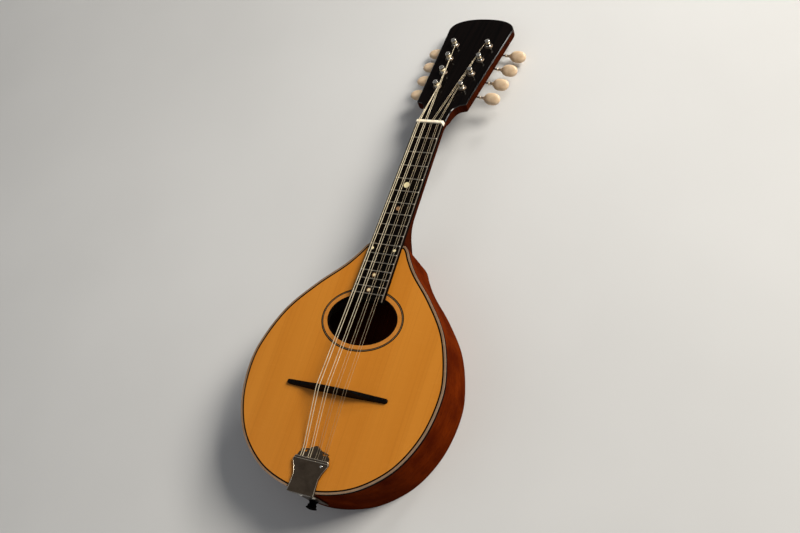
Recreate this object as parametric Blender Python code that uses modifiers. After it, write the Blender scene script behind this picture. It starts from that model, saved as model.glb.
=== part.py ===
"""A teardrop, oval-hole mandolin lying on its flat back, built from its separate pieces.

Frame: metres, +Z out of the soundboard, +Y from the tail towards the head, +X to the
treble side. The origin is on the flat back's outer face, straight below the bridge.
"""
import math

import bmesh
import bpy
from mathutils import Matrix, Vector

MM = 0.001
GAP = 0.3 * MM

# body
BODY_DEPTH = 59.0 * MM
PLATE = 3.0 * MM
RIM_THICKNESS = 2.5 * MM
BINDING_WIDTH = 2.0 * MM
BINDING_HEIGHT = 5.0 * MM
LINING_WIDTH = 5.0 * MM
LINING_HEIGHT = 9.0 * MM
BODY_TOP_Y = 169.0 * MM
# half outline of the body, tail centre to neck joint, millimetres
BODY_HALF = [
    (0.0, -105.8), (35.0, -100.2), (64.0, -86.8), (90.6, -62.0), (108.0, -27.0), (113.9, 12.0),
    (109.3, 43.0), (94.2, 80.0), (69.0, 112.5), (44.0, 138.0), (31.9, 153.6), (25.9, 163.6),
    (21.0, 169.0),
]
HOLE_Y = 80.3 * MM
HOLE_HALF = (40.0 * MM, 27.6 * MM)
HOLE_SIDES = 40
BRACE_HEIGHT = 9.0 * MM
BRACE_WIDTH = 7.0 * MM
TOP_BRACE_Y = 34.0 * MM
BACK_BRACE_Y = 18.0 * MM

# neck, fretboard and nut
NUT_Y = 319.6 * MM
NUT_LENGTH = 4.2 * MM
NUT_HALF = 16.3 * MM
NUT_TOP = 63.2 * MM
SCALE = 352.0 * MM
FRET_COUNT = 16
FRET_RADIUS = 0.65 * MM
FRET_END = 0.4 * MM
BOARD_END_Y = 99.4 * MM
BOARD_HALF_AT_NUT = 16.3 * MM
BOARD_HALF_AT_END = 19.4 * MM
BOARD_TOP_AT_NUT = 62.05 * MM
BOARD_SLOPE = 0.01835
BOARD_THICKNESS = 5.0 * MM
TENON_HALF = 8.7 * MM
TENON_TOP = 44.5 * MM
TENON_DEPTH = 30.0 * MM
TENON_LENGTH = 18.8 * MM

# head, in its own plane: s runs from the nut to the tip, h out of its face
HEAD_ORIGIN = Vector((0.0, 324.5 * MM, 58.6 * MM))
HEAD_TILT = math.radians(14.0)
HEAD_THICKNESS = 12.5 * MM
VENEER = 1.5 * MM
SPLAY = math.radians(4.6)
SHOULDER_HALF = 31.0 * MM
SHOULDER_S = 30.0 * MM
SHOULDER_RISE = 17.0 * MM
HEAD_NECK_HALF = 17.0 * MM
ARCH_S = 157.0 * MM
HEAD_LENGTH = 178.5 * MM

# tuners
TUNERS_PER_SIDE = 4
POST_FIRST_S = 55.8 * MM
POST_PITCH = 24.4 * MM
POST_FIRST_X = 15.8 * MM
POST_RADIUS = 3.0 * MM
POST_TOP = 9.0 * MM
WAIST_RADIUS = 2.4 * MM
WINDING_HEIGHTS = (2.8 * MM, 3.8 * MM, 4.7 * MM, 5.4 * MM)
TUNER_PLATE = 1.2 * MM
GEAR_RADIUS = 4.2 * MM
WORM_RADIUS = 1.9 * MM
WORM_OFFSET = GEAR_RADIUS + WORM_RADIUS + GAP
WORM_H = -HEAD_THICKNESS - GAP - TUNER_PLATE - 4.2 * MM
JOURNAL_RADIUS = 1.2 * MM
EAR_POSITIONS = (-5.2 * MM, 5.2 * MM)
BUTTON_CENTRE = 31.0 * MM
BUTTON_HALF = (10.0 * MM, 7.0 * MM, 4.2 * MM)
# how far each side's buttons stand turned about their shafts
BUTTON_TURN = {1: math.radians(40.0), -1: 0.0}

# bridge, strings and tailpiece
BRIDGE_TOP = 70.6 * MM
STRING_RADII = (0.43 * MM, 0.30 * MM, 0.19 * MM, 0.15 * MM)
COURSE_AT_NUT = 8.0 * MM
COURSE_AT_BRIDGE = 10.67 * MM
COURSE_AT_TAIL = 8.6 * MM
PAIR_AT_NUT = 1.0 * MM
PAIR_AT_BRIDGE = 1.65 * MM
PAIR_AT_TAIL = 1.3 * MM
TAIL_Y = -106.1 * MM
STRING_TAIL_Y = -83.0 * MM
CROWN_Y = -60.0 * MM
BASE_THICKNESS = 1.0 * MM
COVER_BOTTOM = 61.7 * MM
COVER_THICKNESS = 0.8 * MM
END_PIN_Z = 31.0 * MM
END_PIN_RADIUS = 3.4 * MM


def clear_scene():
    """Remove every object, so that the model starts from an empty scene."""
    for item in list(bpy.data.objects):
        bpy.data.objects.remove(item)


def new_collection(name):
    collection = bpy.data.collections.new(name)
    bpy.context.scene.collection.children.link(collection)
    return collection


clear_scene()
PARTS = new_collection("mandolin")
CUTTERS = new_collection("mandolin_cutters")


# ---------------------------------------------------------------- materials

def material(name, colour, roughness, metallic=0.0):
    """A Principled material."""
    made = bpy.data.materials.new(name)
    made.use_nodes = True
    shader = made.node_tree.nodes["Principled BSDF"]
    shader.inputs["Base Color"].default_value = (*colour, 1.0)
    shader.inputs["Roughness"].default_value = roughness
    shader.inputs["Metallic"].default_value = metallic
    return made


SPRUCE = material("spruce", (0.62, 0.33, 0.09), 0.35)
MAHOGANY = material("mahogany", (0.16, 0.045, 0.018), 0.3)
INNER_WOOD = material("inner_wood", (0.55, 0.36, 0.18), 0.7)
BINDING = material("binding", (0.78, 0.66, 0.45), 0.4)
EBONY = material("ebony", (0.012, 0.010, 0.009), 0.4)
BONE = material("bone", (0.85, 0.78, 0.62), 0.35)
FRET_METAL = material("fret_metal", (0.75, 0.73, 0.68), 0.25, 1.0)
STEEL = material("steel", (0.8, 0.8, 0.8), 0.2, 1.0)
BRONZE = material("bronze", (0.75, 0.62, 0.45), 0.3, 1.0)
NICKEL = material("nickel", (0.35, 0.34, 0.31), 0.35, 1.0)
BUTTON = material("button", (0.83, 0.74, 0.55), 0.3)


# ---------------------------------------------------------------- making objects

def place(item, collection, coat):
    """Link an object and give it its material."""
    collection.objects.link(item)
    if coat is not None:
        item.data.materials.clear()
        item.data.materials.append(coat)
    return item


def object_from_bmesh(name, bm, coat, collection=None):
    """A mesh object from a bmesh whose faces are turned outwards."""
    bmesh.ops.recalc_face_normals(bm, faces=bm.faces)
    mesh = bpy.data.meshes.new(name)
    bm.to_mesh(mesh)
    bm.free()
    return place(bpy.data.objects.new(name, mesh), collection or PARTS, coat)


def plate(name, loops, low, high, coat, collection=None):
    """A flat outline, or a ring of two, as a filled 2D curve between two heights, made a mesh."""
    curve = bpy.data.curves.new(name + "_outline", "CURVE")
    curve.dimensions = "2D"
    curve.fill_mode = "BOTH"
    curve.extrude = (high - low) / 2
    for loop in loops:
        spline = curve.splines.new("POLY")
        spline.points.add(len(loop) - 1)
        for point, (x, y) in zip(spline.points, loop):
            point.co = (x, y, 0.0, 1.0)
        spline.use_cyclic_u = True
    outline = bpy.data.objects.new(name + "_outline", curve)
    bpy.context.scene.collection.objects.link(outline)
    graph = bpy.context.evaluated_depsgraph_get()
    mesh = bpy.data.meshes.new_from_object(outline.evaluated_get(graph))
    bpy.data.objects.remove(outline)
    bm = bmesh.new()
    bm.from_mesh(mesh)
    bpy.data.meshes.remove(mesh)
    bmesh.ops.remove_doubles(bm, verts=bm.verts, dist=0.01 * MM)
    bmesh.ops.translate(bm, verts=bm.verts, vec=(0.0, 0.0, (low + high) / 2))
    return object_from_bmesh(name, bm, coat, collection)


def box(name, low, high, coat, collection=None):
    """A block between two corners."""
    bm = bmesh.new()
    bmesh.ops.create_cube(bm, size=1.0)
    size = [b - a for a, b in zip(low, high)]
    middle = [(a + b) / 2 for a, b in zip(low, high)]
    bmesh.ops.scale(bm, vec=size, verts=bm.verts)
    bmesh.ops.translate(bm, vec=middle, verts=bm.verts)
    return object_from_bmesh(name, bm, coat, collection)


def loft(name, sections, coat, collection=None):
    """A closed solid through sections that all have the same number of points."""
    bm = bmesh.new()
    rows = [[bm.verts.new(point) for point in section] for section in sections]
    count = len(rows[0])
    for first, second in zip(rows, rows[1:]):
        for i in range(count):
            j = (i + 1) % count
            bm.faces.new((first[i], first[j], second[j], second[i]))
    bm.faces.new(rows[0])
    bm.faces.new(rows[-1])
    return object_from_bmesh(name, bm, coat, collection)


def turned(name, profile, sides, coat):
    """A turned piece about its own Z axis, from a profile of (radius, height) top to bottom."""
    bm = bmesh.new()
    verts = [bm.verts.new((radius, 0.0, height)) for radius, height in profile]
    for first, second in zip(verts, verts[1:]):
        bm.edges.new((first, second))
    mesh = bpy.data.meshes.new(name)
    bm.to_mesh(mesh)
    bm.free()
    item = place(bpy.data.objects.new(name, mesh), PARTS, coat)
    screw = item.modifiers.new("turn", "SCREW")
    screw.steps = sides
    screw.render_steps = sides
    screw.use_merge_vertices = True
    screw.merge_threshold = 0.01 * MM
    screw.use_smooth_shade = True
    return item


def rods(name, places, radius, sides, half_length):
    """One cutter of several round rods; each place is the matrix of a rod along its local Z."""
    bm = bmesh.new()
    for matrix in places:
        bmesh.ops.create_cone(
            bm, cap_ends=True, segments=sides, radius1=radius, radius2=radius,
            depth=2 * half_length, matrix=matrix,
        )
    return object_from_bmesh(name, bm, None, CUTTERS)


def boolean(item, tool, operation):
    """Cut or join one object with another, which stays as a hidden guide."""
    modifier = item.modifiers.new(tool.name, "BOOLEAN")
    modifier.operation = operation
    modifier.solver = "EXACT"
    modifier.object = tool
    tool.hide_render = True
    tool.display_type = "WIRE"
    return item


def smooth(item, degrees=35.0):
    """Round shading between faces that meet at less than an angle."""
    item.data.shade_smooth()
    item.data.set_sharp_from_angle(angle=math.radians(degrees))
    return item


# ---------------------------------------------------------------- outlines

def spline_through(points, steps):
    """Points on the Catmull-Rom curve through a half outline that starts on the centre line."""
    before = (-points[1][0], points[1][1])
    after = (2 * points[-1][0] - points[-2][0], 2 * points[-1][1] - points[-2][1])
    knots = [before, *points, after]
    curve = []
    for a, b, c, d in zip(knots, knots[1:], knots[2:], knots[3:]):
        for i in range(steps):
            t = i / steps
            curve.append(tuple(
                0.5 * (2 * q + (r - p) * t + (2 * p - 5 * q + 4 * r - s) * t * t
                       + (3 * q - p - 3 * r + s) * t ** 3)
                for p, q, r, s in zip(a, b, c, d)
            ))
    curve.append(points[-1])
    return curve


def inset(loop, distance):
    """A closed counter-clockwise outline moved inwards by a distance, with mitred corners."""
    moved = []
    count = len(loop)
    for i in range(count):
        before = Vector(loop[i - 1])
        here = Vector(loop[i])
        after = Vector(loop[(i + 1) % count])
        first = (here - before).normalized()
        second = (after - here).normalized()
        bisector = Vector((-first.y - second.y, first.x + second.x)).normalized()
        stretch = 1.0 / max(0.5, bisector.dot(Vector((-first.y, first.x))))
        moved.append(tuple(here + bisector * distance * stretch))
    return moved


def body_outline(distance=0.0):
    """The body's outline, moved inwards by a distance; it starts at the tail's centre."""
    half = [(x * MM, y * MM) for x, y in spline_through(BODY_HALF, 3)]
    loop = half + [(-x, y) for x, y in reversed(half[1:])]
    return inset(loop, distance) if distance else loop


def ellipse(centre_y, half_x, half_y, sides):
    return [
        (half_x * math.cos(2 * math.pi * i / sides),
         centre_y + half_y * math.sin(2 * math.pi * i / sides))
        for i in range(sides)
    ]


def circle(centre, radius, sides=12):
    return [
        (centre[0] + radius * math.cos(2 * math.pi * i / sides),
         centre[1] + radius * math.sin(2 * math.pi * i / sides))
        for i in range(sides)
    ]


def mirrored(half):
    """A closed outline from its right half, listed from the low end to the high end."""
    return half + [(-x, y) for x, y in reversed(half) if x > 0.01 * MM]


# ---------------------------------------------------------------- body

BACK_INSIDE = PLATE + GAP
TOP_INSIDE = BODY_DEPTH - PLATE - GAP
BINDING_LOW = BODY_DEPTH - BINDING_HEIGHT
LINING_INSET = RIM_THICKNESS + GAP


def tail_bore(name):
    """The bore of the end pin through the tail."""
    along_y = Matrix.Translation((0.0, TAIL_Y, END_PIN_Z)) @ Matrix.Rotation(math.pi / 2, 4, "X")
    return rods(name, [along_y], END_PIN_RADIUS + GAP, 16, 20 * MM)


def make_plates():
    hole = ellipse(HOLE_Y, *HOLE_HALF, HOLE_SIDES)
    edge = body_outline(BINDING_WIDTH + GAP)
    plate("soundboard", [edge, hole], BODY_DEPTH - PLATE, BODY_DEPTH, SPRUCE)
    plate("back_plate", [body_outline()], 0.0, PLATE, MAHOGANY)


def make_rim():
    """The bent side with its edge binding; a window for the neck's tenon, a bore for the end pin."""
    rim = plate(
        "rim", [body_outline(), body_outline(RIM_THICKNESS)], BACK_INSIDE, BINDING_LOW - GAP,
        MAHOGANY,
    )
    window = box(
        "tenon_window",
        (-TENON_HALF - GAP, BODY_TOP_Y - 10 * MM, TENON_TOP - TENON_DEPTH - GAP),
        (TENON_HALF + GAP, BODY_TOP_Y + 10 * MM, TENON_TOP + GAP),
        None, CUTTERS,
    )
    boolean(rim, window, "DIFFERENCE")
    boolean(rim, tail_bore("rim_tail_bore"), "DIFFERENCE")
    plate(
        "top_binding", [body_outline(), body_outline(BINDING_WIDTH)], BINDING_LOW, BODY_DEPTH,
        BINDING,
    )


def make_linings():
    """The strips that glue each plate to the thin rim."""
    outer = body_outline(LINING_INSET)
    inner = body_outline(LINING_INSET + LINING_WIDTH)
    plate("top_lining", [outer, inner], TOP_INSIDE - LINING_HEIGHT, TOP_INSIDE, INNER_WOOD)
    plate("back_lining", [outer, inner], BACK_INSIDE, BACK_INSIDE + LINING_HEIGHT, INNER_WOOD)


def lining_cutters(prefix):
    """The space of both linings, with the gap of a glued joint round it."""
    ring = [body_outline(LINING_INSET - GAP / 2), body_outline(LINING_INSET + LINING_WIDTH + GAP)]
    low = BACK_INSIDE + LINING_HEIGHT + GAP
    high = TOP_INSIDE - LINING_HEIGHT - GAP
    return [
        plate(prefix + "_back_notch", ring, -PLATE, low, None, CUTTERS),
        plate(prefix + "_top_notch", ring, high, BODY_DEPTH + PLATE, None, CUTTERS),
    ]


def make_blocks():
    """Neck block and tail block, notched round the linings."""
    inside = body_outline(LINING_INSET)
    neck_face = [point for point in inside if point[1] > 150 * MM]
    neck_block = plate(
        "neck_block", [[(27 * MM, 146 * MM), *neck_face, (-27 * MM, 146 * MM)]],
        BACK_INSIDE, TOP_INSIDE, INNER_WOOD,
    )
    mortise = box(
        "mortise",
        (-TENON_HALF - GAP, BODY_TOP_Y - TENON_LENGTH - GAP, TENON_TOP - TENON_DEPTH - GAP),
        (TENON_HALF + GAP, BODY_TOP_Y + 10 * MM, TENON_TOP + GAP),
        None, CUTTERS,
    )
    tail_half = [point for point in inside if point[1] < -90 * MM and 0 <= point[0] < 32 * MM]
    tail_face = [(-x, y) for x, y in reversed(tail_half[1:])] + tail_half
    edge = tail_half[-1][0]
    tail_block = plate(
        "tail_block", [[*tail_face, (edge, -84 * MM), (-edge, -84 * MM)]],
        BACK_INSIDE, TOP_INSIDE, INNER_WOOD,
    )
    for block in (neck_block, tail_block):
        for cutter in lining_cutters(block.name):
            boolean(block, cutter, "DIFFERENCE")
    boolean(neck_block, mortise, "DIFFERENCE")
    boolean(tail_block, tail_bore("block_tail_bore"), "DIFFERENCE")


def width_inside(y):
    """Half the body's inner width between the linings at a place along it."""
    loop = body_outline(LINING_INSET + LINING_WIDTH + GAP)
    right = [point for point in loop[: len(loop) // 2 + 1] if point[0] >= 0]
    for (x0, y0), (x1, y1) in zip(right, right[1:]):
        if y0 <= y <= y1:
            return x0 + (x1 - x0) * (y - y0) / (y1 - y0)
    return 0.0


def make_braces():
    """A transverse brace under each plate, scalloped towards its ends."""
    for name, y, plate_side, direction in (
        ("soundboard_brace", TOP_BRACE_Y, TOP_INSIDE, -1),
        ("back_brace", BACK_BRACE_Y, BACK_INSIDE, 1),
    ):
        reach = min(width_inside(y - BRACE_WIDTH / 2), width_inside(y + BRACE_WIDTH / 2))
        sections = []
        for share, height in ((-1.0, 0.3), (-0.7, 0.55), (0.0, 1.0), (0.7, 0.55), (1.0, 0.3)):
            x = share * reach
            tip = plate_side + direction * BRACE_HEIGHT * height
            sections.append([
                (x, y - BRACE_WIDTH / 2, plate_side), (x, y + BRACE_WIDTH / 2, plate_side),
                (x, y + BRACE_WIDTH / 5, tip), (x, y - BRACE_WIDTH / 5, tip),
            ])
        loft(name, sections, INNER_WOOD)


# ---------------------------------------------------------------- neck

def head_matrix(x, s, h, turn=0.0):
    """A frame on the head: its Z stands out of the head's face, its Y runs to the tip."""
    tilt = Matrix.Rotation(-HEAD_TILT, 4, "X")
    return (
        Matrix.Translation(HEAD_ORIGIN) @ tilt @ Matrix.Translation((x, s, h))
        @ Matrix.Rotation(turn, 4, "Z")
    )


def board_top(y):
    return BOARD_TOP_AT_NUT + BOARD_SLOPE * (NUT_Y - y)


def board_half(y):
    share = (NUT_Y - y) / (NUT_Y - BOARD_END_Y)
    return BOARD_HALF_AT_NUT + (BOARD_HALF_AT_END - BOARD_HALF_AT_NUT) * share


def board_underside(y):
    """The board lies on the neck, and on the soundboard from the neck joint on."""
    share = max(0.0, (y - BODY_TOP_Y) / (NUT_Y - BODY_TOP_Y))
    at_body = BODY_DEPTH + GAP
    at_nut = BOARD_TOP_AT_NUT - BOARD_THICKNESS
    return at_body + (at_nut - at_body) * share


def head_half(s):
    """Half the head's width: a hollow shoulder, a straight splayed side and an arched tip."""
    if s <= SHOULDER_S - SHOULDER_RISE:
        return HEAD_NECK_HALF
    if s <= SHOULDER_S:
        sine = (s - SHOULDER_S + SHOULDER_RISE) / SHOULDER_RISE
        reach = SHOULDER_HALF - HEAD_NECK_HALF
        return SHOULDER_HALF - reach * math.sqrt(max(0.0, 1 - sine * sine))
    side = SHOULDER_HALF + math.tan(SPLAY) * (min(s, ARCH_S) - SHOULDER_S)
    if s <= ARCH_S:
        return side
    rise = (s - ARCH_S) / (HEAD_LENGTH - ARCH_S)
    return side * (1 - rise ** 2.3) ** (1 / 2.3)


HEAD_STATIONS = [
    s * MM for s in (5, 10, 13, 16, 20, 24, 27, 29, 30, 60, 100, 140, 157, 162, 166, 170, 173, 175.5,
                     177.3, 178.3)
]


def lower_half_section(half, depth, power, count=13):
    """A flat-topped section: round below for a neck, nearly square for a head. Top at height 0."""
    points = []
    for i in range(count):
        angle = math.pi * i / (count - 1)
        across = math.copysign(abs(math.cos(angle)) ** (2 / power), -math.cos(angle))
        down = math.sin(angle) ** (2 / power) if 0 < i < count - 1 else 0.0
        points.append((half * across, -depth * down))
    return points


def make_neck():
    """Heel, tenon, shaft and head, one piece of wood, with the bores of the tuner posts."""
    sections = []
    tenon = lower_half_section(TENON_HALF, TENON_DEPTH, 9.0)
    for y in (BODY_TOP_Y - TENON_LENGTH, BODY_TOP_Y + GAP):
        sections.append([(x, y, TENON_TOP + z) for x, z in tenon])
    shaft = [
        (169.3, 1.08, 51.0, 2.3), (174.0, 1.01, 49.0, 2.1), (180.0, 0.98, 43.0, 1.95),
        (187.0, 0.97, 33.0, 1.9), (194.0, 0.97, 24.0, 2.0), (202.0, 0.97, 18.8, 2.1),
        (212.0, 0.97, 16.8, 2.2), (265.0, 0.97, 15.6, 2.2), (319.0, 0.98, 14.4, 2.2),
    ]
    for y_mm, share, depth, power in shaft:
        y = y_mm * MM
        top = board_underside(y) - GAP
        shape = lower_half_section(board_half(y) * share, depth * MM, power)
        sections.append([(x, y, top + z) for x, z in shape])
    wood = HEAD_THICKNESS - VENEER - GAP
    for s in HEAD_STATIONS:
        square = min(1.0, max(0.0, (s - 5 * MM) / (20 * MM)))
        depth = 14.0 * MM + (wood - 14.0 * MM) * square
        frame = head_matrix(0.0, s, -VENEER - GAP)
        shape = lower_half_section(head_half(s), depth, 2.4 + 7.0 * square)
        sections.append([frame @ Vector((x, 0.0, z)) for x, z in shape])
    neck = loft("neck", sections, MAHOGANY)
    places = [post_frame(side, i, -HEAD_THICKNESS / 2) for side, i in tuner_places()]
    bores = rods("post_bores", places, POST_RADIUS + GAP, 12, HEAD_THICKNESS)
    boolean(neck, bores, "DIFFERENCE")
    smooth(neck)


def make_veneer():
    """The black facing of the head, with a hole for each post."""
    half = [(head_half(s), s) for s in [1.5 * MM, *HEAD_STATIONS]]
    loops = [mirrored(half)]
    for side, i in tuner_places():
        x, s = post_place(side, i)
        loops.append(circle((x, s), POST_RADIUS + GAP))
    veneer = plate("head_veneer", loops, -VENEER, 0.0, EBONY)
    veneer.matrix_world = head_matrix(0.0, 0.0, 0.0)


def make_fretboard():
    sections = []
    for y in (BOARD_END_Y, BODY_TOP_Y, NUT_Y - GAP):
        half = board_half(y)
        low = board_underside(y)
        sections.append([(-half, y, low), (half, y, low), (half, y, board_top(y)),
                         (-half, y, board_top(y))])
    loft("fretboard", sections, EBONY)


def make_frets():
    """A crowned wire across the board at each semitone."""
    for number in range(1, FRET_COUNT + 1):
        y = NUT_Y - SCALE * (1 - 2 ** (-number / 12))
        half = board_half(y) - FRET_END
        low = board_top(y) + GAP / 3
        arc = [math.pi * i / 6 for i in range(7)]
        sections = []
        for share, height in ((-1.0, 0.45), (-0.96, 1.0), (0.96, 1.0), (1.0, 0.45)):
            sections.append([
                (share * half, y + FRET_RADIUS * math.cos(a),
                 low + FRET_RADIUS * height * math.sin(a)) for a in arc
            ])
        smooth(loft(f"fret_{number:02d}", sections, FRET_METAL))


def make_nut():
    low = board_underside(NUT_Y)
    y0 = NUT_Y
    y1 = NUT_Y + NUT_LENGTH
    sections = []
    for x, top in ((-NUT_HALF, NUT_TOP - 0.5 * MM), (-NUT_HALF + 0.6 * MM, NUT_TOP),
                   (NUT_HALF - 0.6 * MM, NUT_TOP), (NUT_HALF, NUT_TOP - 0.5 * MM)):
        sections.append([(x, y0, low), (x, y1, low), (x, y1, top - 0.9 * MM),
                         (x, y0 + 1.8 * MM, top), (x, y0, top)])
    loft("nut", sections, BONE)


# ---------------------------------------------------------------- tuners

def tuner_places():
    return [(side, i) for side in (1, -1) for i in range(TUNERS_PER_SIDE)]


def side_name(side):
    return "treble" if side > 0 else "bass"


def post_place(side, i):
    """Where a post stands on the head; the first is nearest the nut."""
    s = POST_FIRST_S + POST_PITCH * i
    x = POST_FIRST_X + math.tan(SPLAY) * (s - POST_FIRST_S)
    return side * x, s


def post_frame(side, i, h):
    """A frame at a post whose Y runs along its row and whose Z stands out of the face."""
    x, s = post_place(side, i)
    return head_matrix(x, s, h, -side * SPLAY)


def outward_frame(side, i, along, out, h):
    """A frame on a tuner's worm axis: its Z points out to the button, its X along the row."""
    frame = post_frame(side, i, h) @ Matrix.Translation((side * out, along, 0.0))
    axes = Matrix(((0.0, 0.0, side, 0.0), (side, 0.0, 0.0, 0.0), (0.0, 1.0, 0.0, 0.0),
                   (0.0, 0.0, 0.0, 1.0)))
    return frame @ axes


def make_posts():
    """String posts with their gears, each turning in the head."""
    gear_top = -HEAD_THICKNESS - 2 * GAP - TUNER_PLATE
    profile = [
        (0.0, POST_TOP), (2.3 * MM, POST_TOP), (POST_RADIUS, POST_TOP - 0.8 * MM),
        (POST_RADIUS, 6.8 * MM), (WAIST_RADIUS, 5.8 * MM), (WAIST_RADIUS, 2.2 * MM),
        (POST_RADIUS, 1.4 * MM), (POST_RADIUS, gear_top), (GEAR_RADIUS, gear_top),
        (GEAR_RADIUS, gear_top - 3.0 * MM), (1.6 * MM, gear_top - 3.0 * MM),
        (1.6 * MM, gear_top - 4.2 * MM), (0.0, gear_top - 4.2 * MM),
    ]
    for side, i in tuner_places():
        post = turned(f"post_{side_name(side)}_{i + 1}", profile, 12, STEEL)
        post.matrix_world = post_frame(side, i, 0.0)


def make_buttons():
    """Worm shafts, each with its oval button."""
    length, wide, thick = BUTTON_HALF
    rounds = [
        (-6.4 * MM, JOURNAL_RADIUS), (-3.6 * MM, JOURNAL_RADIUS), (-3.5 * MM, WORM_RADIUS),
        (3.5 * MM, WORM_RADIUS), (3.6 * MM, JOURNAL_RADIUS),
        (BUTTON_CENTRE - length - 1.0 * MM, JOURNAL_RADIUS),
    ]
    stations = [(out, radius, radius) for out, radius in rounds]
    stations.append((BUTTON_CENTRE - length, 2.2 * MM, 2.0 * MM))
    for share in (-0.9, -0.62, -0.2, 0.3, 0.7, 0.93, 1.0):
        round_off = max(0.12, (1 - abs(share) ** 2.6)) ** 0.5
        stations.append((BUTTON_CENTRE + share * length, wide * round_off, thick * round_off))
    sections = []
    for out, half_x, half_y in stations:
        sections.append([
            (half_x * math.cos(2 * math.pi * k / 12), half_y * math.sin(2 * math.pi * k / 12), out)
            for k in range(12)
        ])
    for side, i in tuner_places():
        button = smooth(loft(f"button_{side_name(side)}_{i + 1}", sections, BUTTON), 50.0)
        turn = Matrix.Rotation(BUTTON_TURN[side], 4, "Z")
        button.matrix_world = outward_frame(side, i, WORM_OFFSET, 0.0, WORM_H) @ turn


def make_tuner_plates():
    """A metal strip behind each row of posts, with an ear at each end of every worm."""
    top = -HEAD_THICKNESS - GAP
    for side in (1, -1):
        half = 7.0 * MM
        low_y = -9.0 * MM
        high_y = POST_PITCH / math.cos(SPLAY) * (TUNERS_PER_SIDE - 1) + 13.0 * MM
        clip = 3.0 * MM
        strip = [(half - clip, low_y), (half, low_y + clip), (half, high_y - clip),
                 (half - clip, high_y)]
        loops = [[*strip, *[(-x, y) for x, y in reversed(strip)]]]
        pitch = POST_PITCH / math.cos(SPLAY)
        for i in range(TUNERS_PER_SIDE):
            loops.append(circle((0.0, pitch * i), POST_RADIUS + GAP))
        name = "tuner_plate_" + side_name(side)
        metal = plate(name, loops, top - TUNER_PLATE, top, NICKEL)
        ears = bmesh.new()
        bores = []
        for i in range(TUNERS_PER_SIDE):
            along = pitch * i + WORM_OFFSET
            for out in EAR_POSITIONS:
                made = bmesh.ops.create_cube(ears, size=1.0)
                bmesh.ops.scale(ears, vec=(1.2 * MM, 5.0 * MM, 7.4 * MM), verts=made["verts"])
                middle = (out, along, WORM_H + 1.5 * MM)
                bmesh.ops.translate(ears, vec=middle, verts=made["verts"])
            across = Matrix.Rotation(math.pi / 2, 4, "Y")
            bores.append(Matrix.Translation((0.0, along, WORM_H)) @ across)
        ear_tool = object_from_bmesh(name + "_ears", ears, None, CUTTERS)
        bore_tool = rods(name + "_bores", bores, JOURNAL_RADIUS + GAP, 10, 9.0 * MM)
        frame = post_frame(side, 0, 0.0)
        for item in (metal, ear_tool, bore_tool):
            item.matrix_world = frame
        boolean(metal, ear_tool, "UNION")
        boolean(metal, bore_tool, "DIFFERENCE")


# ---------------------------------------------------------------- bridge, tailpiece, strings

def make_bridge():
    """The floating bridge: a tall middle under the strings, low hollowed ends."""
    foot = BODY_DEPTH + GAP
    sections = []
    for x_mm, height, depth in (
        (-59.2, 3.0, 5.0), (-50.0, 3.2, 5.6), (-38.0, 4.6, 6.4), (-29.0, 8.0, 7.0),
        (-23.0, 11.3, 7.4), (0.0, 11.3, 7.6), (23.0, 11.3, 7.4), (29.0, 8.0, 7.0),
        (38.0, 4.6, 6.4), (50.0, 3.2, 5.6), (59.2, 3.0, 5.0),
    ):
        x = x_mm * MM
        half = depth * MM / 2
        top = min(foot + height * MM, BRIDGE_TOP)
        crown = min(half, 0.9 * MM + half * max(0.0, 0.6 - height / 20))
        sections.append([(x, -half, foot), (x, half, foot), (x, crown, top), (x, -crown, top)])
    loft("bridge", sections, EBONY)


def make_tailpiece():
    """The base plate with its crown and its leg down the tail, and the cover that slides on it."""
    low = BODY_DEPTH + GAP
    base_half = [(15.0, -107.1), (14.0, -92.0), (15.5, -86.0), (20.0, -75.0), (14.0, -66.2),
                 (9.8, -66.6), (7.4, -62.8), (2.6, -59.4), (0.0, -58.8)]
    base = plate(
        "tailpiece_base", [mirrored([(x * MM, y * MM) for x, y in base_half])],
        low, low + BASE_THICKNESS, NICKEL,
    )
    leg = box(
        "tailpiece_leg", (-12 * MM, TAIL_Y - BASE_THICKNESS, 20 * MM),
        (12 * MM, TAIL_Y, low + BASE_THICKNESS), None, CUTTERS,
    )
    boolean(base, leg, "UNION")
    boolean(base, tail_bore("leg_bore"), "DIFFERENCE")
    cover_half = [(15.5, -108.3), (14.8, -91.0), (16.5, -85.0), (21.0, -76.2), (19.0, -72.0)]
    cover = plate(
        "tailpiece_cover", [mirrored([(x * MM, y * MM) for x, y in cover_half])],
        COVER_BOTTOM, COVER_BOTTOM + COVER_THICKNESS, NICKEL,
    )
    lip = box(
        "cover_lip", (-14.9 * MM, TAIL_Y - BASE_THICKNESS - 1.2 * MM, COVER_BOTTOM - 7 * MM),
        (14.9 * MM, TAIL_Y - BASE_THICKNESS - 0.4 * MM, COVER_BOTTOM + COVER_THICKNESS / 2),
        None, CUTTERS,
    )
    boolean(cover, lip, "UNION")


def make_end_pin():
    profile = [
        (0.0, 17.2), (3.6, 16.8), (5.5, 15.4), (5.9, 13.9), (5.0, 12.2), (3.7, 10.8), (4.5, 9.2),
        (5.2, 8.0), (3.4, 7.7), (3.2, -13.0), (0.0, -13.0),
    ]
    pin = turned("end_pin", [(r * MM, h * MM) for r, h in profile], 16, EBONY)
    place_pin = Matrix.Translation((0.0, TAIL_Y + 6.3 * MM, END_PIN_Z))
    pin.matrix_world = place_pin @ Matrix.Rotation(math.pi / 2, 4, "X")


def string_post(course, member):
    """The side and number of a string's post: the outermost string goes to the nearest post."""
    if course < 2:
        return -1, course * 2 + member
    return 1, 7 - course * 2 - member


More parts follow.
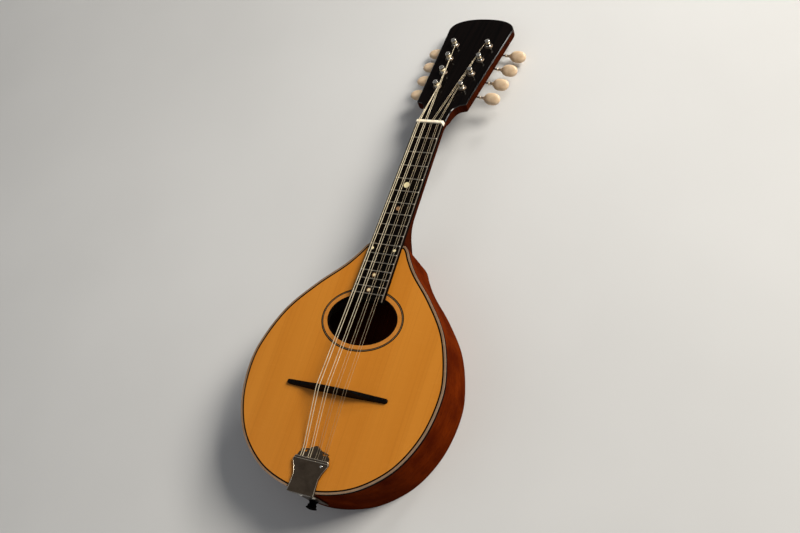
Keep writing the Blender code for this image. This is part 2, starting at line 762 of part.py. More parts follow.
def head_route(start_x, course, member, radius):
    """From the nut to the post, bent round a nearer post where the straight line would touch it."""
    side, index = string_post(course, member)
    start_s = -4.0 * MM
    reach = WAIST_RADIUS + GAP + radius
    end_x, end_s = post_place(side, index)
    end_x = abs(end_x) - reach
    height = WINDING_HEIGHTS[index]
    points = []
    for nearer in range(index):
        near_x, near_s = post_place(side, nearer)
        share = (near_s - start_s) / (end_s - start_s)
        across = abs(start_x) + (end_x - abs(start_x)) * share
        limit = abs(near_x) - reach - GAP
        if across > limit:
            points.append((side * limit, near_s, height))
    points.append((side * end_x, end_s, height))
    frame = head_matrix(0.0, 0.0, 0.0)
    return [tuple(frame @ Vector(point)) for point in points]


def string_route(course, member, radius):
    """A string's points from its hook under the cover, over bridge and nut, to its post."""
    offset = course - 1.5
    sign = -1 if member == 0 else 1
    tail_x = COURSE_AT_TAIL * offset + sign * PAIR_AT_TAIL
    bridge_x = COURSE_AT_BRIDGE * offset + sign * PAIR_AT_BRIDGE
    nut_x = COURSE_AT_NUT * offset + sign * PAIR_AT_NUT
    hook_z = BODY_DEPTH + GAP + BASE_THICKNESS + GAP + radius
    bridge_z = BRIDGE_TOP + GAP + radius
    nut_z = NUT_TOP + GAP + radius
    crown_x = tail_x + (bridge_x - tail_x) * 0.05
    return [
        (tail_x, STRING_TAIL_Y, hook_z), (tail_x, CROWN_Y - 4 * MM, hook_z),
        (crown_x, CROWN_Y, hook_z + GAP), (bridge_x, -3.5 * MM, bridge_z - GAP),
        (bridge_x, 0.0, bridge_z), (bridge_x, 3.0 * MM, bridge_z), (nut_x, NUT_Y, nut_z),
        (nut_x, NUT_Y + 1.8 * MM, nut_z), *head_route(nut_x, course, member, radius),
    ]


def make_strings():
    """Four courses of two, bass to treble."""
    for course, radius in enumerate(STRING_RADII):
        for member in (0, 1):
            name = f"string_{'gdae'[course]}_{member + 1}"
            curve = bpy.data.curves.new(name, "CURVE")
            curve.dimensions = "3D"
            curve.bevel_depth = radius
            curve.bevel_resolution = 2
            curve.use_fill_caps = True
            spline = curve.splines.new("POLY")
            route = string_route(course, member, radius)
            spline.points.add(len(route) - 1)
            for point, place_at in zip(spline.points, route):
                point.co = (*place_at, 1.0)
            place(bpy.data.objects.new(name, curve), PARTS, BRONZE if course < 2 else STEEL)


def main():
    make_plates()
    make_rim()
    make_linings()
    make_blocks()
    make_braces()
    make_neck()
    make_veneer()
    make_fretboard()
    make_frets()
    make_nut()
    make_posts()
    make_buttons()
    make_tuner_plates()
    make_bridge()
    make_tailpiece()
    make_end_pin()
    make_strings()


main()
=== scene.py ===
"""The looks of a teardrop, oval-hole mandolin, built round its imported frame.

Row frame: metres, +Z out of the soundboard, +Y from the tail to the head, +X to the treble
side. The instrument lies on its flat back, and the camera looks down on it from its treble side.
"""
from math import atan, copysign, cos, pi, radians, sin, sqrt, tan

import bmesh
import bpy
from mathutils import Matrix, Vector


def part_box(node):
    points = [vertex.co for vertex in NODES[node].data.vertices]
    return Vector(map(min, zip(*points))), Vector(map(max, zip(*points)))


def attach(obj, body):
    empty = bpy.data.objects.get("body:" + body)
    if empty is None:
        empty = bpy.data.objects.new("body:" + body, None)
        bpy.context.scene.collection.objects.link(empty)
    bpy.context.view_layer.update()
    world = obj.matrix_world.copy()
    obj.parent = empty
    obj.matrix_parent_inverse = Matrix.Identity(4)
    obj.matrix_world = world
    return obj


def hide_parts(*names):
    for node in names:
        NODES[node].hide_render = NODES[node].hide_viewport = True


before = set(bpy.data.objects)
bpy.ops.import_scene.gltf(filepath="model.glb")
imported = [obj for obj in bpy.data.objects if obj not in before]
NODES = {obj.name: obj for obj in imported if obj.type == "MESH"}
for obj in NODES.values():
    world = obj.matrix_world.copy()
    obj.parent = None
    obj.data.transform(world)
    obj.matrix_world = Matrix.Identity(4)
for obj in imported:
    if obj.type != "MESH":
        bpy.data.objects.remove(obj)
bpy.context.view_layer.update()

MM = 0.001
GAP = 0.3 * MM
HAIR = 0.04 * MM
ON_AXIS = 0.0001 * MM
SIDES = ((1, "treble"), (-1, "bass"))

# body: the same driving dimensions as the frame's
BODY_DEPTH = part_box("soundboard")[1].z
PLATE = 3.0 * MM
RIM_THICKNESS = 2.5 * MM
BINDING_WIDTH = 2.0 * MM
BINDING_DEPTH = 1.2 * MM
SIDE_LINE_DEPTH = 3.2 * MM
PURFLING_WIDTH = 1.6 * MM
PURFLING_DEPTH = 1.0 * MM
BODY_TOP_Y = 169.0 * MM
BODY_HALF = [
    (0.0, -105.8), (35.0, -100.2), (64.0, -86.8), (90.6, -62.0), (108.0, -27.0), (113.9, 12.0),
    (109.3, 43.0), (94.2, 80.0), (69.0, 112.5), (44.0, 138.0), (31.9, 153.6), (25.9, 163.6),
    (21.0, 169.0),
]
OUTLINE_STEPS = 12
HOLE_CENTRE = (0.0, 80.3 * MM)
HOLE_HALF = (40.0 * MM, 27.6 * MM)

# neck, fretboard and nut
NUT_Y = 319.6 * MM
NUT_LENGTH = 4.2 * MM
NUT_HALF = 16.3 * MM
NUT_TOP = 63.2 * MM
SCALE = 352.0 * MM
FRET_COUNT = 16
FRET_RADIUS = 0.65 * MM
FRET_END = 0.4 * MM
BOARD_END_Y = 99.4 * MM
BOARD_HALF_AT_NUT = 16.3 * MM
BOARD_HALF_AT_END = 19.4 * MM
BOARD_TOP_AT_NUT = 62.05 * MM
BOARD_SLOPE = 0.01835
BOARD_THICKNESS = 5.0 * MM
BOARD_BINDING = 0.9 * MM
# heel and shaft: place along the neck, share of the board's width, depth, squareness; in mm
SHAFT = [
    (169.3, 1.08, 51.0, 2.3), (174.0, 1.01, 49.0, 2.1), (180.0, 0.98, 43.0, 1.95),
    (187.0, 0.97, 33.0, 1.9), (194.0, 0.97, 24.0, 2.0), (202.0, 0.97, 18.8, 2.1),
    (212.0, 0.97, 16.8, 2.2), (265.0, 0.97, 15.6, 2.2), (319.0, 0.98, 14.4, 2.2),
]
SHAFT_STEPS = 4

# head, in its own plane: s runs from the nut to the tip, h out of its face
HEAD_ORIGIN = Vector((0.0, 324.5 * MM, 58.6 * MM))
HEAD_TILT = radians(14.0)
HEAD_THICKNESS = 12.5 * MM
VENEER = 1.5 * MM
VENEER_START = 1.5 * MM
# the facing's slanted edge
BEVEL_RUN = 0.75 * MM
BEVEL_DROP = 0.47 * MM
BEVEL_SET_IN = 0.12 * MM
SPLAY = radians(4.6)
SHOULDER_HALF = 31.0 * MM
SHOULDER_S = 30.0 * MM
SHOULDER_RISE = 17.0 * MM
HEAD_NECK_HALF = 17.0 * MM
ARCH_S = 157.0 * MM
HEAD_LENGTH = 178.5 * MM

# tuners
TUNERS_PER_SIDE = 4
POST_FIRST_S = 55.8 * MM
POST_PITCH = 24.4 * MM
POST_FIRST_X = 15.8 * MM
POST_RADIUS = 3.0 * MM
WAIST_RADIUS = 2.4 * MM
WINDING_TURNS = 3
WINDING_HEIGHTS = (2.8 * MM, 3.8 * MM, 4.7 * MM, 5.4 * MM)
TUNER_PLATE = 1.2 * MM
GEAR_TOP = -HEAD_THICKNESS - 2 * GAP - TUNER_PLATE
GEAR_RADIUS = 4.2 * MM
GEAR_TEETH = 14
WORM_RADIUS = 1.9 * MM
WORM_OFFSET = GEAR_RADIUS + WORM_RADIUS + GAP
WORM_H = -HEAD_THICKNESS - GAP - TUNER_PLATE - 4.2 * MM
JOURNAL_RADIUS = 1.2 * MM
BUTTON_CENTRE = 31.0 * MM
BUTTON_HALF = (10.0 * MM, 7.0 * MM, 4.2 * MM)
# radius and distance out from the post row, in mm
FERRULE_PROFILE = [
    (1.25, 14.6), (1.6, 14.7), (1.8, 15.1), (1.8, 16.3), (1.55, 16.6), (1.55, 19.4), (1.8, 19.8),
    (2.1, 20.6), (2.1, 21.2), (1.25, 21.3), (1.25, 14.6),
]
# how far each side's buttons stand turned about their shafts
BUTTON_TURN = {1: radians(40.0), -1: 0.0}

# bridge, strings and tailpiece
BRIDGE_TOP = 70.6 * MM
BRIDGE_HALF = 59.15
BRIDGE_STATIONS = 260
# place across the body, height, depth; in mm
BRIDGE_PROFILE = [
    (-59.2, 3.0, 5.0), (-50.0, 3.2, 5.6), (-38.0, 4.6, 6.4), (-29.0, 8.0, 7.0), (-23.0, 11.3, 7.4),
    (0.0, 11.3, 7.6), (23.0, 11.3, 7.4), (29.0, 8.0, 7.0), (38.0, 4.6, 6.4), (50.0, 3.2, 5.6),
    (59.2, 3.0, 5.0),
]
STRING_RADII = (0.43 * MM, 0.30 * MM, 0.19 * MM, 0.15 * MM)
COURSE_AT_NUT = 8.0 * MM
COURSE_AT_BRIDGE = 10.67 * MM
COURSE_AT_TAIL = 8.6 * MM
PAIR_AT_NUT = 1.0 * MM
PAIR_AT_BRIDGE = 1.65 * MM
PAIR_AT_TAIL = 1.3 * MM
TAIL_Y = -106.1 * MM
STRING_TAIL_Y = -83.0 * MM
HOOK_Y = STRING_TAIL_Y - 1.5 * MM
BASE_THICKNESS = 1.0 * MM
COVER_HALF = [(15.5, -108.3), (14.8, -91.0), (16.5, -85.0), (21.0, -76.2), (19.0, -72.0)]
COVER_BOTTOM = 61.7 * MM
COVER_THICKNESS = 0.8 * MM
END_PIN_Z = 31.0 * MM

# the stage: the floor, where the camera stands, and the directions of its right and down sides
FLOOR_SIZE = 40.0
FLOOR_DROP = 0.2 * MM
CAMERA_PLACE = Vector((0.5412, -0.2273, 0.9693))
CAMERA_RIGHT = Vector((0.8758, 0.3050, -0.3742))
CAMERA_DOWN = Vector((0.1244, -0.8915, -0.4356))
CAMERA_LENS = 47.67
CAMERA_SENSOR = 36.0


# ---- stage

def add_item(name, data):
    item = bpy.data.objects.new(name, data)
    bpy.context.scene.collection.objects.link(item)
    return item


def make_camera():
    camera = bpy.data.cameras.new("camera")
    camera.lens = CAMERA_LENS
    camera.sensor_width = CAMERA_SENSOR
    camera.clip_start = 0.01
    item = add_item("camera", camera)
    right = CAMERA_RIGHT.normalized()
    up = (-CAMERA_DOWN - right * right.dot(-CAMERA_DOWN)).normalized()
    back = right.cross(up)
    item.matrix_world = (
        Matrix.Translation(CAMERA_PLACE) @ Matrix((right, up, back)).transposed().to_4x4()
    )
    bpy.context.scene.camera = item


def area_light(name, place, target, size, watts, colour, spread=180.0):
    light = bpy.data.lights.new(name, "AREA")
    light.shape = "RECTANGLE"
    light.size, light.size_y = size
    light.energy = watts
    light.color = colour
    light.spread = radians(spread)
    item = add_item(name, light)
    item.location = place
    item.rotation_euler = (Vector(target) - Vector(place)).to_track_quat("-Z", "Y").to_euler()


def make_lights():
    """A warm key past the treble shoulder, a weak light past the head, a fill, a pale world."""
    area_light("key", (1.8, 1.42, 1.67), (0.0, 0.14, 0.05), (1.08, 1.08), 83.0,
               (1.0, 0.95, 0.87))
    area_light("edge_light", (0.6, 1.65, 0.8), (0.03, 0.42, 0.04), (0.4, 0.4), 1.0,
               (1.0, 0.98, 0.95), 60.0)
    area_light("fill", (-1.3, -0.7, 1.5), (0.0, 0.1, 0.0), (1.6, 1.6), 3.5, (0.95, 0.97, 1.0))
    world = bpy.data.worlds.new("world")
    bpy.context.scene.world = world
    world.use_nodes = True
    background = world.node_tree.nodes["Background"]
    background.inputs["Color"].default_value = (0.86, 0.88, 0.92, 1.0)
    background.inputs["Strength"].default_value = 0.17
    bpy.context.scene.view_settings.view_transform = "Standard"


# ---- materials

def add_node(tree, kind, inputs=None, **settings):
    made = tree.nodes.new(kind)
    for key, value in settings.items():
        setattr(made, key, value)
    for key, value in (inputs or {}).items():
        made.inputs[key].default_value = value
    return made


class Coat:
    """A Principled material and the few node moves that its pattern is made with."""

    def __init__(self, name, **shader):
        self.material = bpy.data.materials.new(name)
        self.material.use_nodes = True
        self.tree = self.material.node_tree
        self.shader = self.tree.nodes["Principled BSDF"]
        for key, value in shader.items():
            socket = key.replace("_", " ").title().replace("Ior", "IOR")
            self.shader.inputs[socket].default_value = value

    def link(self, source, target):
        self.tree.links.new(source, target)

    def place(self, stretch=(1, 1, 1), attribute=None, fold=False):
        """Pattern coordinates in metres times a stretch on each axis; fold mirrors them in X."""
        if attribute:
            source = add_node(self.tree, "ShaderNodeAttribute", attribute_name=attribute)
            output = source.outputs["Vector"]
        else:
            output = add_node(self.tree, "ShaderNodeTexCoord").outputs["Object"]
        if fold:
            split = add_node(self.tree, "ShaderNodeSeparateXYZ")
            mirror = add_node(self.tree, "ShaderNodeMath", operation="ABSOLUTE")
            join = add_node(self.tree, "ShaderNodeCombineXYZ")
            self.link(output, split.inputs[0])
            self.link(split.outputs["X"], mirror.inputs[0])
            self.link(mirror.outputs[0], join.inputs["X"])
            for axis in "YZ":
                self.link(split.outputs[axis], join.inputs[axis])
            output = join.outputs[0]
        mapping = add_node(self.tree, "ShaderNodeMapping", {"Scale": stretch})
        self.link(output, mapping.inputs["Vector"])
        return mapping.outputs["Vector"]

    def noise(self, where, scale=1.0, detail=3.0, roughness=0.5, distortion=0.0):
        made = add_node(self.tree, "ShaderNodeTexNoise", {
            "Scale": scale, "Detail": detail, "Roughness": roughness, "Distortion": distortion})
        self.link(where, made.inputs["Vector"])
        return made.outputs["Fac"]

    def bands(self, where, scale, distortion=0.0, direction="Y"):
        made = add_node(self.tree, "ShaderNodeTexWave", {
            "Scale": scale, "Distortion": distortion, "Detail": 1.0}, bands_direction=direction)
        self.link(where, made.inputs["Vector"])
        return made.outputs["Fac"]

    def spread(self, value, low, high, to_low=0.0, to_high=1.0):
        made = add_node(self.tree, "ShaderNodeMapRange", {
            "From Min": low, "From Max": high, "To Min": to_low, "To Max": to_high})
        self.link(value, made.inputs["Value"])
        return made.outputs["Result"]

    def ramp(self, value, *stops):
        made = add_node(self.tree, "ShaderNodeValToRGB")
        elements = made.color_ramp.elements
        while len(elements) < len(stops):
            elements.new(0.5)
        for element, (position, colour) in zip(elements, stops):
            element.position = position
            element.color = (*colour, 1.0)
        self.link(value, made.inputs["Fac"])
        return made.outputs["Color"]

    def mix(self, share, first, second, blend="MIX"):
        """Colours mixed by a share; each of the three is a number, a colour or an output."""
        made = add_node(self.tree, "ShaderNodeMix", data_type="RGBA", blend_type=blend)
        for socket, value in ((0, share), (6, first), (7, second)):
            if isinstance(value, bpy.types.NodeSocket):
                self.link(value, made.inputs[socket])
            elif socket == 0:
                made.inputs[socket].default_value = value
            else:
                made.inputs[socket].default_value = (*value, 1.0)
        return made.outputs[2]

    def colour(self, output):
        self.link(output, self.shader.inputs["Base Color"])
        return self

    def roughness(self, value, low, high):
        self.link(self.spread(value, 0.3, 0.7, low, high), self.shader.inputs["Roughness"])
        return self

    def bump(self, value, strength, distance=0.0002):
        made = add_node(self.tree, "ShaderNodeBump", {"Strength": strength, "Distance": distance})
        self.link(value, made.inputs["Height"])
        if self.shader.inputs["Normal"].is_linked:
            self.link(self.shader.inputs["Normal"].links[0].from_socket, made.inputs["Normal"])
        self.link(made.outputs["Normal"], self.shader.inputs["Normal"])
        return self


def spruce():
    """Book-matched spruce: fine straight year lines, broad toning and a satin amber varnish."""
    coat = Coat("spruce", coat_weight=0.06, coat_roughness=0.3, specular_ior_level=0.25)
    year_lines = coat.noise(coat.place((620, 2.6, 40), fold=True), 1.0, 2.0, 0.55, 0.1)
    broad = coat.noise(coat.place((34, 2.2, 10), fold=True), 1.0, 3.0, 0.5)
    silk = coat.noise(coat.place((90, 420, 60)), 1.0, 2.0)
    base = coat.ramp(broad, (0.25, (0.54, 0.180, 0.012)), (0.75, (0.62, 0.228, 0.022)))
    lines = coat.spread(year_lines, 0.50, 0.72, 0.0, 0.16)
    toned = coat.mix(lines, base, (0.36, 0.105, 0.006))
    flecked = coat.mix(coat.spread(silk, 0.55, 0.8, 0.0, 0.12), toned, (0.70, 0.29, 0.04))
    coat.colour(flecked).roughness(silk, 0.30, 0.40)
    return coat.bump(year_lines, 0.10, 0.0001).material


def mahogany(name, light, dark, stretch, attribute=None):
    """Stained mahogany: ribbon figure, short dark pores along the grain, glossy varnish."""
    coat = Coat(name, coat_weight=0.01, coat_roughness=0.25, specular_ior_level=0.0)
    along, across = stretch
    ribbon = coat.noise(coat.place((along * 4, across * 0.12, across * 0.12), attribute))
    grain = coat.noise(coat.place((along * 5, across, across), attribute), 1.0, 4.0, 0.6, 0.2)
    pores = coat.noise(coat.place((along * 22, across * 4, across * 4), attribute), 1.0, 1.0)
    base = coat.mix(coat.spread(ribbon, 0.35, 0.65), dark, light)
    lined = coat.mix(coat.spread(grain, 0.45, 0.75, 0.0, 0.55), base, dark)
    speckled = coat.mix(
        coat.spread(pores, 0.60, 0.72, 0.0, 0.7), lined, [0.35 * channel for channel in dark])
    coat.colour(speckled).roughness(grain, 0.26, 0.38)
    return coat.bump(pores, 0.12, 0.0001).material


def bare_wood():
    """Unvarnished inside wood, greyed with age."""
    coat = Coat("inner_wood")
    grain = coat.noise(coat.place((60, 500, 500)))
    coat.colour(coat.ramp(grain, (0.3, (0.10, 0.050, 0.020)), (0.7, (0.19, 0.11, 0.05))))
    return coat.roughness(grain, 0.65, 0.85).bump(grain, 0.3).material


def celluloid(name, light, dark, scale=60, weight=0.25):
    """Aged celluloid or bone: a faint cloudy mottle under a polished skin."""
    coat = Coat(name, coat_weight=weight, coat_roughness=0.12, subsurface_weight=0.08,
                specular_ior_level=0.25)
    coat.shader.inputs["Subsurface Radius"].default_value = (0.002, 0.0012, 0.0006)
    cloud = coat.noise(coat.place(), scale, 4.0, 0.55, 0.8)
    fine = coat.noise(coat.place(), scale * 14, 2.0)
    coat.colour(coat.ramp(cloud, (0.3, dark), (0.7, light))).roughness(fine, 0.24, 0.36)
    return coat.bump(fine, 0.05, 0.0001).material


def ebony(name, roughness=(0.34, 0.50), weight=0.02):
    """Black wood with a few brown streaks along the neck and close open pores."""
    coat = Coat(name, coat_weight=weight, coat_roughness=0.2, specular_ior_level=0.0)
    streaks = coat.noise(coat.place((420, 9, 420)))
    pores = coat.noise(coat.place((1400, 120, 1400)), 1.0, 1.0)
    coat.colour(coat.ramp(streaks, (0.45, (0.0022, 0.0018, 0.0016)), (0.8, (0.008, 0.005, 0.0035))))
    return coat.roughness(pores, *roughness).bump(pores, 0.15, 0.0001).material


def lacquer(name, gloss):
    """Black lacquered veneer: a deep gloss with a very faint ripple."""
    coat = Coat(name, coat_weight=gloss, coat_roughness=0.12, specular_ior_level=0.0)
    ripple = coat.noise(coat.place(), 260, 2.0)
    tone = coat.noise(coat.place((300, 10, 300)))
    coat.colour(coat.ramp(tone, (0.3, (0.0012, 0.0010, 0.0009)), (0.8, (0.005, 0.003, 0.0025))))
    return coat.roughness(ripple, 0.16, 0.26).bump(ripple, 0.06, 0.0001).material


def metal(name, light, dark, roughness, brushed=(1, 1, 1), scale=300, patina=0.5):
    """Plated metal: fine brush lines, cloudy wear and a duller patina in patches."""
    coat = Coat(name, metallic=1.0)
    lines = coat.noise(coat.place(brushed), scale, 2.0, 0.6)
    patches = coat.noise(coat.place(), 95, 4.0, 0.6, 0.4)
    tone = coat.mix(coat.spread(patches, 0.42, 0.70, 0.0, patina), light, dark)
    coat.colour(coat.mix(coat.spread(lines, 0.35, 0.65, 0.0, 0.22), tone, dark))
    return coat.roughness(lines, *roughness).bump(lines, 0.05, 0.00005).material


def wound_wire():
    """Bronze winding wire: close turns across the string, with painted shade darkening the groove
    between the turns.
    """
    coat = Coat("wound_string", metallic=0.5)
    turns = coat.bands(coat.place(), 900, 0.0, "Y")
    wear = coat.noise(coat.place(), 120, 3.0)
    tone = coat.ramp(wear, (0.3, (0.86, 0.72, 0.48)), (0.7, (1.0, 0.88, 0.64)))
    # painted shade: the colour is mixed up to a quarter of the way to dark grey-brown in the groove
    # of each turn
    coat.colour(coat.mix(coat.spread(turns, 0.0, 0.5, 0.25, 0.0), tone, (0.26, 0.20, 0.14)))
    return coat.roughness(wear, 0.26, 0.40).bump(turns, 0.15, 0.00005).material


def pearl(name, light, shade):
    """Mother-of-pearl: soft folded layers of colour."""
    coat = Coat(name, coat_weight=0.4, coat_roughness=0.08)
    folds = coat.noise(coat.place((1, 1.7, 1)), 420, 3.0, 0.5, 1.6)
    coat.colour(coat.ramp(folds, (0.3, shade), (0.5, light), (0.7, [0.92 * c for c in light])))
    return coat.roughness(folds, 0.16, 0.28).material


def floor_paper():
    """A pale studio floor with a very faint mottle."""
    coat = Coat("floor_paper")
    mottle = coat.noise(coat.place(), 3.0, 3.0)
    coat.colour(coat.ramp(mottle, (0.3, (0.66, 0.66, 0.65)), (0.7, (0.71, 0.71, 0.70))))
    return coat.roughness(mottle, 0.75, 0.85).material


SPRUCE = spruce()
RIM_WOOD = mahogany(
    "rim_mahogany", (0.136, 0.018, 0.0013), (0.068, 0.007, 0.0007), (8, 260), "grain")
BACK_WOOD = mahogany("back_mahogany", (0.12, 0.020, 0.003), (0.066, 0.009, 0.0015), (260, 8))
NECK_WOOD = mahogany("neck_mahogany", (0.055, 0.008, 0.0015), (0.022, 0.0035, 0.001), (260, 8))
INNER_WOOD = bare_wood()
BINDING = celluloid("binding", (0.30, 0.19, 0.115), (0.23, 0.14, 0.08), weight=0.05)
BOARD_EDGE = celluloid("board_binding", (0.26, 0.22, 0.17), (0.16, 0.13, 0.10), weight=0.05)
DARK_LINE = ebony("dark_line", (0.30, 0.40), 0.03)
ROSETTE_BAND = celluloid("rosette_band", (0.60, 0.23, 0.035), (0.50, 0.18, 0.025), 130, 0.03)
GREY_LINE = celluloid("grey_line", (0.20, 0.14, 0.08), (0.12, 0.08, 0.045), 200, 0.05)
EBONY = ebony("ebony")
BRIDGE_EBONY = ebony("bridge_ebony", (0.26, 0.38), 0.2)
BLACK_VENEER = lacquer("black_veneer", 0.2)
BLACK_BEVEL = lacquer("black_bevel", 0.8)
BONE = celluloid("bone", (1.0, 0.92, 0.76), (0.94, 0.83, 0.63), 180, 0.3)
FRET_METAL = metal("fret_metal", (0.50, 0.45, 0.37), (0.27, 0.23, 0.18), (0.24, 0.38))
WOUND = wound_wire()
PLAIN = metal("plain_string", (0.86, 0.72, 0.50), (0.68, 0.55, 0.36), (0.28, 0.42))
STEEL = metal("tuner_steel", (0.88, 0.85, 0.78), (0.52, 0.45, 0.34), (0.12, 0.26))
NICKEL = metal("nickel", (0.135, 0.100, 0.070), (0.050, 0.036, 0.024), (0.36, 0.52), (1, 4, 1), 520)
NICKEL_EDGE = metal("nickel_edge", (0.62, 0.55, 0.44), (0.30, 0.25, 0.19), (0.20, 0.34))
FERRULE = metal("ferrule", (0.85, 0.72, 0.56), (0.62, 0.50, 0.37), (0.34, 0.5))
CREAM = celluloid("cream_button", (0.80, 0.62, 0.42), (0.66, 0.46, 0.28), 110, 0.3)
PEARL = pearl("pearl", (0.90, 0.80, 0.50), (0.62, 0.46, 0.16))
BROWN_PEARL = pearl("brown_pearl", (0.32, 0.17, 0.08), (0.16, 0.07, 0.03))


# ---- mesh making

def finish_mesh(name, bm, coat, sharp=35.0):
    bmesh.ops.recalc_face_normals(bm, faces=bm.faces)
    mesh = bpy.data.meshes.new(name)
    bm.to_mesh(mesh)
    bm.free()
    mesh.shade_smooth()
    mesh.set_sharp_from_angle(angle=radians(sharp))
    mesh.materials.append(coat)
    return add_item(name, mesh)


def soften(item, width, segments=2, degrees=40.0):
    """Rounds the edges of an item as a bevel."""
    bevel = item.modifiers.new("soft_edges", "BEVEL")
    bevel.width = width
    bevel.segments = segments
    bevel.limit_method = "ANGLE"
    bevel.angle_limit = radians(degrees)
    return item


def evaluated_mesh(item):
    graph = bpy.context.evaluated_depsgraph_get()
    return bpy.data.meshes.new_from_object(item.evaluated_get(graph))


def plate(name, loops, low, high, coat, edge=0.0):
    """Flat outlines, the later ones holes, between two heights."""
    curve = bpy.data.curves.new(name, "CURVE")
    curve.dimensions = "2D"
    curve.fill_mode = "BOTH"
    curve.extrude = (high - low) / 2
    for loop in loops:
        spline = curve.splines.new("POLY")
        spline.points.add(len(loop) - 1)
        for point, (x, y) in zip(spline.points, loop):
            point.co = (x, y, 0.0, 1.0)
        spline.use_cyclic_u = True
    guide = add_item(name + "_guide", curve)
    mesh = evaluated_mesh(guide)
    bpy.data.objects.remove(guide)
    bm = bmesh.new()
    bm.from_mesh(mesh)
    bpy.data.meshes.remove(mesh)
    bmesh.ops.remove_doubles(bm, verts=bm.verts, dist=0.01 * MM)
    bmesh.ops.translate(bm, verts=bm.verts, vec=(0.0, 0.0, (low + high) / 2))
    item = finish_mesh(name, bm, coat)
    return soften(item, edge) if edge else item


def loft(name, sections, coat, sharp=35.0, closed=False):
    """A solid through sections with as many points each; closed joins the last to the first."""
    bm = bmesh.new()
    rows = [[bm.verts.new(point) for point in section] for section in sections]
    count = len(rows[0])
    pairs = list(zip(rows, rows[1:])) + ([(rows[-1], rows[0])] if closed else [])
    for first, second in pairs:
        for i in range(count):
            j = (i + 1) % count
            bm.faces.new((first[i], first[j], second[j], second[i]))
    if not closed:
        bm.faces.new(rows[0])
        bm.faces.new(rows[-1])
    return finish_mesh(name, bm, coat, sharp)


def round_angles(count):
    return [2 * pi * k / count for k in range(count)]


def turned(name, profile, coat, sides=48, sharp=30.0):
    """A turned piece about its own Z axis, from a profile of (radius, height)."""
    bm = bmesh.new()
    rows = []
    for radius, height in profile:
        if radius < ON_AXIS:
            rows.append([bm.verts.new((0.0, 0.0, height))])
        else:
            rows.append([bm.verts.new((radius * cos(a), radius * sin(a), height))
                         for a in round_angles(sides)])
    for first, second in zip(rows, rows[1:]):
        for k in range(sides):
            j = (k + 1) % sides
            corners = [first[k % len(first)], first[j % len(first)],
                       second[j % len(second)], second[k % len(second)]]
            unique = list(dict.fromkeys(corners))
            if len(unique) > 2:
                bm.faces.new(unique)
    return finish_mesh(name, bm, coat, sharp)


def tube(name, points, radius, coat, sides=10, cyclic=False):
    """A round wire along points, as a mesh swept with a steady frame."""
    path = [Vector(point) for point in points]
    count = len(path)
    sections = []
    side = None
    for i, here in enumerate(path):
        before = path[i - 1] if i or cyclic else here
        after = path[(i + 1) % count] if i + 1 < count or cyclic else here
        along = (after - before).normalized()
        if side is None:
            side = along.orthogonal().normalized()
        side = (side - along * side.dot(along)).normalized()
        other = along.cross(side)
        sections.append([
            here + (side * cos(a) + other * sin(a)) * radius for a in round_angles(sides)
        ])
    return loft(name, sections, coat, 50.0, cyclic)


def recoat(item, coat):
    item.data.materials.clear()
    item.data.materials.append(coat)


def settle(item, body, slot, *nodes, place=None):
    """Give a piece its place and body, and hide the frame nodes that it stands for; its material
    slot is not used.
    """
    if place is not None:
        item.matrix_world = place
    if nodes:
        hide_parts(*nodes)
    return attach(item, body)


def grain_along(item, loop):
    """Store how far round the outline and how high each vertex of a bent side lies."""
    travelled = [0.0]
    for first, second in zip(loop, loop[1:]):
        travelled.append(travelled[-1] + (Vector(second) - Vector(first)).length)
    attribute = item.data.attributes.new("grain", "FLOAT_VECTOR", "POINT")
    for vertex in item.data.vertices:
        x, y, z = vertex.co
        nearest = min(range(len(loop)), key=lambda k: (loop[k][0] - x) ** 2 + (loop[k][1] - y) ** 2)
        attribute.data[vertex.index].vector = (travelled[nearest], z, 0.0)


# ---- outlines

def catmull_rom(rows, steps):
    """Rows of numbers smoothly joined; the first and last only steer the ends."""
    curve = []
    for a, b, c, d in zip(rows, rows[1:], rows[2:], rows[3:]):
        for i in range(steps):
            t = i / steps
            curve.append(tuple(
                0.5 * (2 * q + (r - p) * t + (2 * p - 5 * q + 4 * r - s) * t * t
                       + (3 * q - p - 3 * r + s) * t ** 3)
                for p, q, r, s in zip(a, b, c, d)
            ))
    return [*curve, rows[-2]]


def inset(loop, distance):
    """A closed counter-clockwise outline moved inwards by a distance, with mitred corners."""
    moved = []
    count = len(loop)
    for i in range(count):
        before = Vector(loop[i - 1])
        here = Vector(loop[i])
        after = Vector(loop[(i + 1) % count])
        first = (here - before).normalized()
        second = (after - here).normalized()
        bisector = Vector((-first.y - second.y, first.x + second.x)).normalized()
        stretch = 1.0 / max(0.5, bisector.dot(Vector((-first.y, first.x))))
        moved.append(tuple(here + bisector * distance * stretch))
    return moved


def body_outline(distance=0.0):
    """The body's outline moved inwards by a distance, nowhere past its widest knot."""
    x_next, y_next = BODY_HALF[1]
    (x_before, y_before), (x_last, y_last) = BODY_HALF[-2:]
    knots = [(-x_next, y_next), *BODY_HALF, (2 * x_last - x_before, 2 * y_last - y_before)]
    widest = max(x for x, y in BODY_HALF)
    half = [(min(x, widest) * MM, y * MM) for x, y in catmull_rom(knots, OUTLINE_STEPS)]
    loop = half + [(-x, y) for x, y in reversed(half[1:])]
    return inset(loop, distance) if distance else loop


def ellipse(centre, half_x, half_y, sides=144):
    return [(centre[0] + half_x * cos(a), centre[1] + half_y * sin(a))
            for a in round_angles(sides)]


def rectangle(half, low, high):
    return [(-half, low), (half, low), (half, high), (-half, high)]


def mirrored(half):
    return half + [(-x, y) for x, y in reversed(half) if x > 0.01 * MM]


# ---- body

